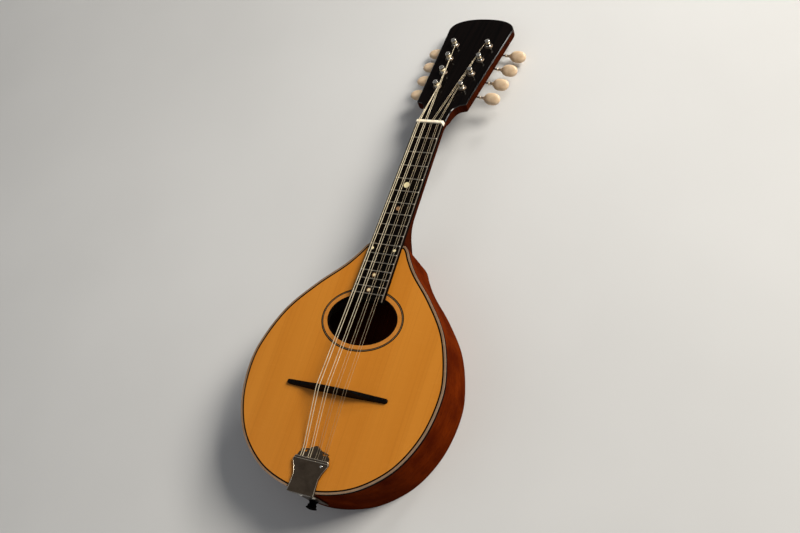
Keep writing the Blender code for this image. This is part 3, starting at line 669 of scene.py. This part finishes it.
def make_body():
    """Soundboard, cream corner strip, the dark lines beside it, bent side and back."""
    top = BODY_DEPTH
    line_top = top - BINDING_DEPTH
    side_top = line_top - SIDE_LINE_DEPTH
    outline, inside = body_outline(), body_outline(BINDING_WIDTH)
    purfling = [body_outline(BINDING_WIDTH - HAIR), body_outline(BINDING_WIDTH + PURFLING_WIDTH)]
    pieces = (
        ("spruce_top", [inside, ellipse(HOLE_CENTRE, *HOLE_HALF)], top - PLATE, top, SPRUCE,
         0.5 * MM, "spruce", "soundboard"),
        ("corner_binding", [outline, inside], line_top, top + HAIR, BINDING, 0.45 * MM,
         "binding", "top_binding"),
        ("edge_purfling", purfling, top - PURFLING_DEPTH, top + HAIR / 2, DARK_LINE, 0.0, "ebony"),
        ("side_line", [outline, inside], side_top, line_top, DARK_LINE, 0.0, "ebony"),
        ("bent_side", [outline, body_outline(RIM_THICKNESS)], PLATE, side_top, RIM_WOOD, 0.0,
         "mahogany", "rim"),
        ("mahogany_back", [outline], 0.0, PLATE, BACK_WOOD, 0.8 * MM, "mahogany", "back_plate"),
    )
    for name, loops, low, high, coat, edge, slot, *nodes in pieces:
        item = plate(name, loops, low, high, coat, edge)
        if coat is RIM_WOOD:
            grain_along(item, outline)
        settle(item, "instrument", slot, *nodes)


def make_rosette():
    """A dark hole edge, a pale wood band, and a dark ring with a dull line in it."""
    top = BODY_DEPTH
    rings = (
        ("hole_edge_line", -0.3, 1.2, DARK_LINE, "ebony", 1.0),
        ("rosette_band", 1.2, 5.8, ROSETTE_BAND, "spruce", 0.6),
        ("rosette_ring_inner", 5.8, 6.6, DARK_LINE, "ebony", 1.0),
        ("rosette_ring_middle", 6.6, 7.2, GREY_LINE, "binding", 0.8),
        ("rosette_ring_outer", 7.2, 8.2, DARK_LINE, "ebony", 1.0),
    )
    for name, inner, outer, coat, slot, proud in rings:
        loops = [
            ellipse(HOLE_CENTRE, HOLE_HALF[0] + grow * MM, HOLE_HALF[1] + grow * MM)
            for grow in (outer, inner)
        ]
        low = top - PLATE if inner < 0 else top - 0.8 * MM
        ring = plate(name, loops, low, top + HAIR * proud, coat)
        settle(ring, "instrument", slot)


def dress_inside():
    """The blocks, linings and braces keep their frame shapes and show bare wood."""
    for name in ("top_lining", "back_lining", "neck_block", "tail_block", "soundboard_brace",
                 "back_brace"):
        recoat(NODES[name], INNER_WOOD)
        soften(NODES[name], 0.5 * MM)


# ---- neck

def head_matrix(x, s, h, turn=0.0):
    """A frame on the head: its Z stands out of the head's face, its Y runs to the tip."""
    tilt = Matrix.Rotation(-HEAD_TILT, 4, "X")
    return (
        Matrix.Translation(HEAD_ORIGIN) @ tilt @ Matrix.Translation((x, s, h))
        @ Matrix.Rotation(turn, 4, "Z")
    )


def board_top(y):
    return BOARD_TOP_AT_NUT + BOARD_SLOPE * (NUT_Y - y)


def board_half(y):
    share = (NUT_Y - y) / (NUT_Y - BOARD_END_Y)
    return BOARD_HALF_AT_NUT + (BOARD_HALF_AT_END - BOARD_HALF_AT_NUT) * share


def board_underside(y):
    share = max(0.0, (y - BODY_TOP_Y) / (NUT_Y - BODY_TOP_Y))
    at_body = BODY_DEPTH + GAP
    at_nut = BOARD_TOP_AT_NUT - BOARD_THICKNESS
    return at_body + (at_nut - at_body) * share


def head_half(s):
    """Half the head's width: a hollow shoulder, a straight splayed side and an arched tip."""
    if s <= SHOULDER_S - SHOULDER_RISE:
        return HEAD_NECK_HALF
    if s <= SHOULDER_S:
        sine = (s - SHOULDER_S + SHOULDER_RISE) / SHOULDER_RISE
        reach = SHOULDER_HALF - HEAD_NECK_HALF
        return SHOULDER_HALF - reach * sqrt(max(0.0, 1 - sine * sine))
    side = SHOULDER_HALF + tan(SPLAY) * (min(s, ARCH_S) - SHOULDER_S)
    if s <= ARCH_S:
        return side
    rise = (s - ARCH_S) / (HEAD_LENGTH - ARCH_S)
    return side * (1 - rise ** 2.3) ** (1 / 2.3)


def head_stations():
    """Places along the head, close together where its outline turns."""
    low = [5 * MM + 8 * MM * k / 4 for k in range(4)]
    shoulder = [
        SHOULDER_S - SHOULDER_RISE * cos(pi / 2 * k / 14) for k in range(15)
    ]
    sides = [45 * MM, 75 * MM, 105 * MM, 135 * MM]
    arch = [ARCH_S + (HEAD_LENGTH - ARCH_S) * sin(pi / 2 * k / 18) for k in range(18)]
    return low + shoulder + sides + arch + [HEAD_LENGTH - 0.02 * MM]


def lower_half_section(half, depth, power, count=33):
    """A flat-topped section: round below for a neck, nearly square for a head."""
    points = []
    for i in range(count):
        angle = pi * i / (count - 1)
        across = copysign(abs(cos(angle)) ** (2 / power), -cos(angle))
        down = sin(angle) ** (2 / power) if 0 < i < count - 1 else 0.0
        points.append((half * across, -depth * down))
    return points


def make_neck():
    """Heel, shaft and head in one piece of wood."""
    sections = []
    for y_mm, share, depth, power in catmull_rom([SHAFT[0], *SHAFT, SHAFT[-1]], SHAFT_STEPS):
        y = y_mm * MM
        top = board_underside(y)
        shape = lower_half_section(board_half(y) * share, depth * MM, power)
        sections.append([(x, y, top + z) for x, z in shape])
    wood = HEAD_THICKNESS - VENEER
    for s in head_stations():
        square = min(1.0, max(0.0, (s - 5 * MM) / (20 * MM)))
        depth = 14.0 * MM + (wood - 14.0 * MM) * square
        place = head_matrix(0.0, s, -VENEER)
        shape = lower_half_section(head_half(s), depth, 2.4 + 7.0 * square)
        sections.append([place @ Vector((x, 0.0, z)) for x, z in shape])
    neck = loft("mahogany_neck", sections, NECK_WOOD, 40.0)
    settle(neck, "instrument", "mahogany", "neck")


def make_veneer():
    """The black facing of the head, pierced for the posts."""
    rim = mirrored([(head_half(s), s) for s in [VENEER_START, *head_stations()]])
    outline = inset(rim, BEVEL_SET_IN)
    inner = inset(rim, BEVEL_RUN)
    bore = POST_RADIUS + GAP
    bores = [ellipse(post_place(side, i), bore, bore, 40) for side, i in tuner_places()]
    veneer = plate("head_facing", [inner, *bores], -VENEER, 0.0, BLACK_VENEER)
    sections = [
        [(*low, -VENEER), (*low, -BEVEL_DROP), (*high, 0.0), (*high, -VENEER)]
        for low, high in zip(outline, inner)
    ]
    bevel = loft("head_bevel", sections, BLACK_BEVEL, 20.0, True)
    face = head_matrix(0.0, 0.0, 0.0)
    settle(veneer, "instrument", "black_veneer", "head_veneer", place=face)
    settle(bevel, "instrument", "black_veneer", place=face)


def board_strip(name, left, right, low_share, coat, edge):
    """A strip of the fretboard; each border is a side and a distance in from the board's edge."""
    sections = []
    for y in (BOARD_END_Y, BODY_TOP_Y, NUT_Y - GAP):
        x0, x1 = [side * (board_half(y) - distance) for side, distance in (left, right)]
        low = board_underside(y) * (1 - low_share) + board_top(y) * low_share
        top = board_top(y)
        sections.append([(x0, y, low), (x1, y, low), (x1, y, top), (x0, y, top)])
    return soften(loft(name, sections, coat), edge)


def make_fretboard():
    """The ebony board, and on each side a binding strip over a dark edge."""
    board = board_strip(
        "ebony_board", (-1, BOARD_BINDING), (1, BOARD_BINDING), 0.0, EBONY, 0.12 * MM)
    settle(board, "instrument", "ebony", "fretboard")
    for side, label in SIDES:
        inner = (side, BOARD_BINDING)
        upper = board_strip(
            f"board_binding_{label}", inner, (side, 0.0), 0.78, BOARD_EDGE, 0.2 * MM)
        settle(upper, "instrument", "binding")
        lower = board_strip(
            f"board_edge_{label}", inner, (side, 0.05 * MM), 0.0, EBONY, 0.1 * MM)
        settle(lower, "instrument", "ebony")


def fret_place(number):
    return NUT_Y - SCALE * (1 - 2 ** (-number / 12))


def make_frets():
    """A crowned wire across the board at each semitone, its ends filed to a slope."""
    for number in range(1, FRET_COUNT + 1):
        y = fret_place(number)
        half = board_half(y) - FRET_END
        low = board_top(y)
        arc = [pi * i / 14 for i in range(15)]
        sections = []
        for share, height in ((-1.0, 0.35), (-0.975, 0.8), (-0.94, 1.0), (0.94, 1.0),
                              (0.975, 0.8), (1.0, 0.35)):
            sections.append([
                (share * half, y + FRET_RADIUS * cos(a),
                 low + (FRET_RADIUS + GAP / 3) * height * sin(a)) for a in arc
            ])
        wire = loft(f"fret_wire_{number:02d}", sections, FRET_METAL, 50.0)
        settle(wire, "instrument", "fret_metal", f"fret_{number:02d}")


def make_dots():
    """Position dots let into the board, the small ones in a brown ring."""
    large, small, ring = 3.5 * MM, 1.7 * MM, 2.5 * MM

    def middle(low):
        return (fret_place(low) + fret_place(low + 1)) / 2

    dots = [("dot_5", 0.0, middle(4), large, PEARL), ("dot_7", 0.0, middle(6), ring, BROWN_PEARL)]
    for side, label in SIDES:
        dots.append((f"dot_11_{label}", side * 13.4 * MM, middle(10), small, PEARL))
    for low in (13, 15):
        dots.append((f"dot_{low + 1}_ring", 0.0, middle(low), ring, BROWN_PEARL))
        dots.append((f"dot_{low + 1}", 0.0, middle(low), small, PEARL))
    for name, x, y, radius, coat in dots:
        profile = [(0.0, -0.6 * MM), (radius, -0.6 * MM), (radius, 0.0),
                   (radius * 0.9, 0.05 * MM), (radius * 0.5, 0.08 * MM), (0.0, 0.09 * MM)]
        lift = 0.03 * MM if coat is PEARL else 0.0
        place = Matrix.Translation((x, y, board_top(y) + lift))
        place @= Matrix.Rotation(-atan(BOARD_SLOPE), 4, "X")
        settle(turned(name, profile, coat, 32), "instrument", "bone", place=place)


def make_nut():
    """Bone nut, rounded on top, with a groove for each string."""
    low = board_underside(NUT_Y)
    y0, y1 = NUT_Y, NUT_Y + NUT_LENGTH
    grooves = string_places(COURSE_AT_NUT, PAIR_AT_NUT)
    sections = []
    for k in range(81):
        x = NUT_HALF * (k / 80 * 2 - 1)
        near = min(abs(x - place) for place in grooves)
        dip = 0.55 * MM * max(0.0, 1 - near / (0.7 * MM))
        end = max(0.0, (abs(x) - NUT_HALF + 0.8 * MM) / (0.8 * MM)) ** 2 * 0.7 * MM
        top = NUT_TOP + 0.55 * MM - dip - end
        sections.append([
            (x, y0, low), (x, y1, low), (x, y1, top - 1.6 * MM),
            (x, y1 - 0.5 * MM, top - 0.9 * MM), (x, y1 - 1.6 * MM, top - 0.3 * MM),
            (x, y0 + 1.2 * MM, top), (x, y0 + 0.3 * MM, top - 0.1 * MM), (x, y0, top - 0.4 * MM)])
    nut = loft("bone_nut", sections, BONE, 50.0)
    settle(nut, "instrument", "bone", "nut")


# ---- tuners

def tuner_places():
    return [(side, i) for side in (1, -1) for i in range(TUNERS_PER_SIDE)]


def side_name(side):
    return "treble" if side > 0 else "bass"


def post_place(side, i):
    s = POST_FIRST_S + POST_PITCH * i
    x = POST_FIRST_X + tan(SPLAY) * (s - POST_FIRST_S)
    return side * x, s


def post_frame(side, i, h):
    """A frame at a post whose Y runs along its row and whose Z stands out of the face."""
    x, s = post_place(side, i)
    return head_matrix(x, s, h, -side * SPLAY)


def outward_frame(side, i, along, out, h):
    """A frame on a tuner's worm axis: its Z points out to the button, its X along the row."""
    place = post_frame(side, i, h) @ Matrix.Translation((side * out, along, 0.0))
    axes = Matrix(((0.0, 0.0, side, 0.0), (side, 0.0, 0.0, 0.0), (0.0, 1.0, 0.0, 0.0),
                   (0.0, 0.0, 0.0, 1.0)))
    return place @ axes


def post_profile():
    """The string post from its domed top through the waist to its shaft in the head."""
    quarter = [pi / 2 * k / 6 for k in range(7)]
    dome = [(2.9 * MM * sin(a), 8.2 * MM + 0.8 * MM * cos(a)) for a in quarter]
    waist = [WAIST_RADIUS + (POST_RADIUS - WAIST_RADIUS) * (k / 5) ** 2 for k in range(6)]
    flare = [(waist[k], (5.8 + 0.2 * k) * MM) for k in range(5, -1, -1)]
    foot = [(waist[k], (2.2 - 0.16 * k) * MM) for k in range(6)]
    return [*dome, (POST_RADIUS, 8.0 * MM), *flare, *foot, (POST_RADIUS, GEAR_TOP + 0.1 * MM),
            (0.0, GEAR_TOP + 0.1 * MM)]


def gear_outline(teeth, outer, inner):
    """The outline of a gear wheel with trapezoid teeth."""
    outline = []
    pitch = 2 * pi / teeth
    tooth = ((0.0, inner), (0.22, inner), (0.36, outer), (0.64, outer), (0.78, inner))
    for start in round_angles(teeth):
        for share, radius in tooth:
            angle = start + pitch * share
            outline.append((radius * cos(angle), radius * sin(angle)))
    return outline


def make_post(side, i):
    name = f"{side_name(side)}_{i + 1}"
    body = "post_" + name
    place = post_frame(side, i, 0.0)
    post = turned("string_post_" + name, post_profile(), STEEL, 40)
    gear = plate("gear_" + name, [gear_outline(GEAR_TEETH, GEAR_RADIUS, GEAR_RADIUS - 1.0 * MM)],
                 GEAR_TOP - 3.0 * MM, GEAR_TOP, NICKEL_EDGE, 0.15 * MM)
    screw_profile = [
        (r * MM, GEAR_TOP - drop * MM)
        for r, drop in ((0.0, 2.9), (1.6, 2.9), (1.6, 3.8), (1.2, 4.15), (0.0, 4.2))
    ]
    screw = turned("gear_screw_" + name, screw_profile, STEEL, 24)
    settle(post, body, "tuner_steel", body, place=place)
    settle(gear, body, "tuner_steel", place=place)
    settle(screw, body, "tuner_steel", place=place)


def make_bush(side, i):
    """The pressed collar round a post on the head's face."""
    inner, outer = POST_RADIUS + GAP, 5.0 * MM
    profile = [(inner, -0.8 * MM), (inner, 0.9 * MM), (inner + 0.5 * MM, 1.0 * MM),
               (outer - 0.7 * MM, 0.6 * MM), (outer, 0.25 * MM), (outer, 0.0),
               (inner + 0.2 * MM, -0.8 * MM), (inner, -0.8 * MM)]
    bush = turned(f"post_bush_{side_name(side)}_{i + 1}", profile, NICKEL, 40)
    settle(bush, "instrument", "tuner_steel", place=post_frame(side, i, 0.0))


def worm_sections():
    """A worm shaft: journals, a threaded middle and the stem out to the button."""
    length = BUTTON_CENTRE - BUTTON_HALF[0] + 1.2 * MM
    thread_half, pitch = 3.5 * MM, 1.4 * MM
    stations = [-6.4 * MM, -6.3 * MM, -3.9 * MM]
    stations += [-thread_half + 2 * thread_half * k / 60 for k in range(61)]
    stations += [3.9 * MM, length - 1.2 * MM, length]
    sections = []
    for out in stations:
        row = []
        for angle in round_angles(20):
            radius = JOURNAL_RADIUS if out > -6.35 * MM else JOURNAL_RADIUS * 0.7
            if abs(out) <= thread_half + 1e-6:
                wave = 0.5 + 0.5 * cos(2 * pi * out / pitch - angle)
                radius = 1.25 * MM + (WORM_RADIUS - 1.25 * MM) * min(1.0, 1.4 * wave)
            row.append((radius * cos(angle), radius * sin(angle), out))
        sections.append(row)
    return sections


def knob_sections():
    """The oval button: a flattened egg with a short neck on the shaft's side."""
    length, wide, thick = BUTTON_HALF
    stations = [(BUTTON_CENTRE - length - 1.0 * MM, 1.9 * MM, 1.7 * MM),
                (BUTTON_CENTRE - length - 0.4 * MM, 2.3 * MM, 2.1 * MM)]
    for k in range(25):
        share = -cos(pi * (k + 1) / 26)
        round_off = (1 - abs(share) ** 2.35) ** (1 / 2.05)
        if share < -0.9:
            round_off = max(round_off, 0.36)
        stations.append((BUTTON_CENTRE + share * length, wide * round_off, thick * round_off))
    stations.append((BUTTON_CENTRE + length - 0.02 * MM, wide * 0.08, thick * 0.08))
    flat = 2 / 2.5
    sections = []
    for out, half_x, half_y in stations:
        row = []
        for angle in round_angles(40):
            wide_share, thick_share = cos(angle), sin(angle)
            row.append((half_x * copysign(abs(wide_share) ** flat, wide_share),
                        half_y * copysign(abs(thick_share) ** flat, thick_share), out))
        sections.append(row)
    return sections


def make_button(side, i):
    name = f"{side_name(side)}_{i + 1}"
    body = "button_" + name
    turn = Matrix.Rotation(BUTTON_TURN[side], 4, "Z")
    place = outward_frame(side, i, WORM_OFFSET, 0.0, WORM_H) @ turn
    knob = loft("knob_" + name, knob_sections(), CREAM, 60.0)
    worm = loft("worm_shaft_" + name, worm_sections(), STEEL, 45.0)
    profile = [(r * MM, h * MM) for r, h in FERRULE_PROFILE]
    ferrule = turned("ferrule_" + name, profile, FERRULE, 32)
    settle(ferrule, body, "tuner_steel", place=place)
    settle(knob, body, "cream_button", body, place=place)
    settle(worm, body, "tuner_steel", place=place)


def slotted_screw(name, radius, dome):
    """A domed screw head with a straight slot, standing on its own origin."""
    steps = 8
    profile = [
        (radius * sin(pi / 2 * k / steps), dome * cos(pi / 2 * k / steps))
        for k in range(steps + 1)
    ]
    screw = turned(name, [*profile, (radius, -0.3 * MM), (0.0, -0.3 * MM)], STEEL, 28)
    bm = bmesh.new()
    bmesh.ops.create_cube(bm, size=1.0)
    bmesh.ops.scale(bm, vec=(radius * 3, radius * 0.26, dome), verts=bm.verts)
    bmesh.ops.translate(bm, vec=(0.0, 0.0, dome * 1.05), verts=bm.verts)
    cutter = finish_mesh(name + "_slot", bm, STEEL)
    cut = screw.modifiers.new("slot", "BOOLEAN")
    cut.operation = "DIFFERENCE"
    cut.object = cutter
    mesh = evaluated_mesh(screw)
    screw.modifiers.clear()
    screw.data = mesh
    bpy.data.objects.remove(cutter)
    return screw


def make_tuner_plates():
    """The frame's metal strips, softened, and the screws that hold them."""
    pitch = POST_PITCH / cos(SPLAY)
    under = -HEAD_THICKNESS - GAP - TUNER_PLATE
    for side in (1, -1):
        strip = NODES["tuner_plate_" + side_name(side)]
        recoat(strip, NICKEL_EDGE)
        soften(strip, 0.2 * MM)
        for number, along in enumerate((-6.0 * MM, pitch * 0.62, pitch * 1.62, pitch * 2.62,
                                        pitch * 3 + 10.2 * MM)):
            screw = slotted_screw(f"plate_screw_{side_name(side)}_{number + 1}", 1.5 * MM, 0.7 * MM)
            place = (
                post_frame(side, 0, under) @ Matrix.Translation((0.0, along, 0.0))
                @ Matrix.Rotation(pi, 4, "X") @ Matrix.Rotation(0.7 * number, 4, "Z")
            )
            settle(screw, "instrument", "tuner_steel", place=place)


# ---- strings

def string_post(course, member):
    """The side and number of a string's post: the outermost string goes to the nearest post."""
    if course < 2:
        return -1, course * 2 + member
    return 1, 7 - course * 2 - member


def course_x(spacing, pair, course, member):
    return spacing * (course - 1.5) + (-pair if member == 0 else pair)


def string_places(spacing, pair):
    return [course_x(spacing, pair, c, m) for c in range(4) for m in (0, 1)]


def make_windings():
    """The turns of each string round its post, and the loop at its other end."""
    for course, radius in enumerate(STRING_RADII):
        coat = WOUND if course < 2 else PLAIN
        slot = "wound_string" if course < 2 else "plain_string"
        for member in (0, 1):
            side, index = string_post(course, member)
            name = f"{'gdae'[course]}_{member + 1}"
            reach = WAIST_RADIUS + radius
            top = WINDING_HEIGHTS[index]
            pitch = min(2.05 * radius, 0.62 * MM)
            points = []
            for k in range(WINDING_TURNS * 16 + 1):
                angle = pi * (1 if side > 0 else 0) + side * 2 * pi * k / 16
                height = max(2.3 * MM, top + radius - pitch * k / 16) if top > 4 * MM else (
                    min(5.6 * MM, top - radius + pitch * k / 16))
                points.append((reach * cos(angle), reach * sin(angle), height))
            winding = tube("winding_" + name, points, radius, coat, 8)
            settle(winding, f"post_{side_name(side)}_{index + 1}", slot,
                   place=post_frame(side, index, 0.0))
            recoat(NODES["string_" + name], coat)
            NODES["string_" + name].data.shade_smooth()
            tail_x = course_x(COURSE_AT_TAIL, PAIR_AT_TAIL, course, member)
            height = BODY_DEPTH + GAP + BASE_THICKNESS + GAP + radius
            ring = [(x, y, height) for x, y in ellipse((tail_x, HOOK_Y), 0.75 * MM, 1.5 * MM, 16)]
            loop = tube("loop_" + name, ring, min(radius, 0.25 * MM), coat, 8, True)
            settle(loop, "instrument", slot)


# ---- bridge and tailpiece

def bridge_at(x):
    """Height and depth of the bridge at a place across the body, in millimetres."""
    for (x0, h0, d0), (x1, h1, d1) in zip(BRIDGE_PROFILE, BRIDGE_PROFILE[1:]):
        if x0 <= x <= x1:
            t = (x - x0) / (x1 - x0)
            return h0 + (h1 - h0) * t, d0 + (d1 - d0) * t
    return BRIDGE_PROFILE[-1][1:]


def make_bridge():
    """The floating bridge: a ridged middle grooved for the strings, hollowed ramps, low feet."""
    foot = BODY_DEPTH + HAIR
    grooves = string_places(COURSE_AT_BRIDGE, PAIR_AT_BRIDGE)
    sections = []
    for k in range(BRIDGE_STATIONS + 1):
        x_mm = -BRIDGE_HALF + 2 * BRIDGE_HALF * k / BRIDGE_STATIONS
        height, depth = bridge_at(x_mm)
        end = max(0.0, (abs(x_mm) - 57.0) / 2.2)
        depth *= sqrt(max(0.05, 1 - end * end * 0.9))
        height -= 0.8 * end * end
        half = depth * MM / 2
        top = min(foot + height * MM, BRIDGE_TOP)
        near = min(abs(x_mm * MM - place) for place in grooves)
        if abs(x_mm) < 23.5:
            top -= 0.45 * MM * max(0.0, 1 - near / (0.55 * MM))
        ridge = min(half, 0.9 * MM + half * max(0.0, 0.6 - height / 20))
        waist = half - (half - ridge) * 0.35
        x = x_mm * MM
        sections.append([
            (x, -half, foot), (x, half, foot), (x, half, foot + 1.2 * MM),
            (x, waist, foot + 0.45 * (top - foot)), (x, ridge, top - 0.3 * MM),
            (x, ridge - 0.35 * MM, top), (x, 0.35 * MM - ridge, top), (x, -ridge, top - 0.3 * MM),
            (x, -waist, foot + 0.45 * (top - foot)), (x, -half, foot + 1.2 * MM)])
    bridge = loft("ebony_bridge", sections, BRIDGE_EBONY, 32.0)
    settle(bridge, "instrument", "ebony", "bridge")


def make_tailpiece_base():
    """The lobed plate, its crown pressed up to carry the strings, and its leg down the tail."""
    low = BODY_DEPTH + HAIR
    top = BODY_DEPTH + GAP + BASE_THICKNESS
    lobes = [(15.0, -107.1), (14.0, -92.0), (15.5, -86.0), (20.0, -75.0)]
    for k in range(11):
        angle = radians(-10 + 12.5 * k)
        lobes.append((14.2 + 3.9 * cos(angle), -70.2 + 3.9 * sin(angle)))
    lobes += [(10.0, -66.7), (9.2, -66.2), (8.6, -64.6), (7.6, -62.9), (5.9, -61.5), (4.0, -60.5),
              (2.2, -59.5), (0.8, -58.9), (0.0, -58.8)]
    half = [(x * MM, y * MM) for x, y in lobes]
    base = plate("tailpiece_plate", [mirrored(half)], low, top, NICKEL, 0.25 * MM)
    settle(base, "instrument", "nickel", "tailpiece_base")
    arc = [(x * MM, (-62.6 - 0.010 * x * x) * MM, top - 0.25 * MM) for x in range(-16, 17, 2)]
    crown = tube("crown_roll", arc, 0.6 * MM, NICKEL, 12)
    settle(crown, "instrument", "nickel")
    leg_box = rectangle(12 * MM, TAIL_Y - BASE_THICKNESS, TAIL_Y)
    leg = plate("tailpiece_leg", [leg_box], 20 * MM, top - 0.1 * MM, NICKEL, 0.3 * MM)
    settle(leg, "instrument", "nickel")
    for number, x in enumerate((-7.5, 7.5)):
        screw = slotted_screw(f"leg_screw_{number + 1}", 2.0 * MM, 0.9 * MM)
        place = (
            Matrix.Translation((x * MM, TAIL_Y - BASE_THICKNESS, 46 * MM))
            @ Matrix.Rotation(pi / 2, 4, "X") @ Matrix.Rotation(0.5 + number, 4, "Z"))
        settle(screw, "instrument", "tuner_steel", place=place)
    for number, x in enumerate(string_places(COURSE_AT_TAIL, PAIR_AT_TAIL)):
        hook = [(x, HOOK_Y, top - 0.4 * MM), (x, HOOK_Y, top + 0.7 * MM),
                (x, HOOK_Y - 0.6 * MM, top + 1.0 * MM), (x, HOOK_Y - 1.7 * MM, top + 1.0 * MM)]
        tab = tube(f"string_hook_{number + 1}", hook, 0.35 * MM, NICKEL_EDGE, 8)
        settle(tab, "instrument", "nickel")


def make_tailpiece_cover():
    """The cover that slides over the plate: a flat panel, beaded sides, a rolled front and a lip
    turned down at the tail.
    """
    top = COVER_BOTTOM + COVER_THICKNESS
    half = [(x * MM, y * MM) for x, y in COVER_HALF]
    panel = plate("cover_panel", [mirrored(half)], COVER_BOTTOM, top - 0.12 * MM, NICKEL, 0.2 * MM)
    settle(panel, "cover", "nickel", "tailpiece_cover")
    for side, label in SIDES:
        edge = [(side * (x - 0.35) * MM, y * MM, top - 0.38 * MM) for x, y in COVER_HALF]
        bead = tube(f"cover_edge_{label}", edge, 0.38 * MM, NICKEL_EDGE, 10)
        settle(bead, "cover", "nickel")
    for number, (y, half_x) in enumerate(((-72.4, 18.6), (-74.6, 19.6))):
        roll = tube(
            f"cover_roll_{number + 1}",
            [(x / 10 * half_x * MM, y * MM, top - 0.35 * MM) for x in range(-10, 11)],
            0.45 * MM, NICKEL_EDGE, 12)
        settle(roll, "cover", "nickel")
    lip_low = COVER_BOTTOM - 7 * MM
    lip_y = TAIL_Y - BASE_THICKNESS - 0.4 * MM
    lip_half = COVER_HALF[0][0] * MM - 0.6 * MM
    lip_box = rectangle(lip_half, lip_y - COVER_THICKNESS, lip_y)
    lip = plate("cover_lip", [lip_box], lip_low, top - 0.15 * MM, NICKEL_EDGE, 0.25 * MM)
    settle(lip, "cover", "nickel")
    screw = slotted_screw("cover_screw", 1.5 * MM, 0.55 * MM)
    place = Matrix.Translation((13.2 * MM, -78.0 * MM, top - 0.12 * MM))
    settle(screw, "cover", "tuner_steel", place=place)


def make_end_pin():
    """The turned strap pin in the tail."""
    knob = [
        (5.9 * sin(pi * k / 16) ** 0.8, 17.1 - 4.2 * (k / 16) ** 1.2)
        for k in range(1, 13)
    ]
    stem = [(4.9, 12.4), (4.1, 11.5), (3.7, 10.8), (3.8, 10.2), (4.5, 9.2), (5.2, 8.5),
            (5.2, 8.0), (0.0, 7.9)]
    profile = [(0.0, 17.2), *knob, *stem]
    pin = turned("strap_pin", [(r * MM, h * MM) for r, h in profile], EBONY, 48, 60.0)
    place = Matrix.Translation((0.0, TAIL_Y + 6.3 * MM, END_PIN_Z))
    place @= Matrix.Rotation(pi / 2, 4, "X")
    settle(pin, "instrument", "ebony", "end_pin", place=place)


def make_floor():
    bm = bmesh.new()
    bmesh.ops.create_grid(bm, x_segments=2, y_segments=2, size=FLOOR_SIZE)
    floor = finish_mesh("floor", bm, floor_paper())
    floor.location = (0.0, 0.0, -FLOOR_DROP)


make_camera()
make_lights()
make_floor()
make_body()
make_rosette()
dress_inside()
make_neck()
make_veneer()
make_fretboard()
make_frets()
make_dots()
make_nut()
for place_side, place_number in tuner_places():
    make_post(place_side, place_number)
    make_bush(place_side, place_number)
    make_button(place_side, place_number)
make_tuner_plates()
make_windings()
make_bridge()
make_tailpiece_base()
make_tailpiece_cover()
make_end_pin()
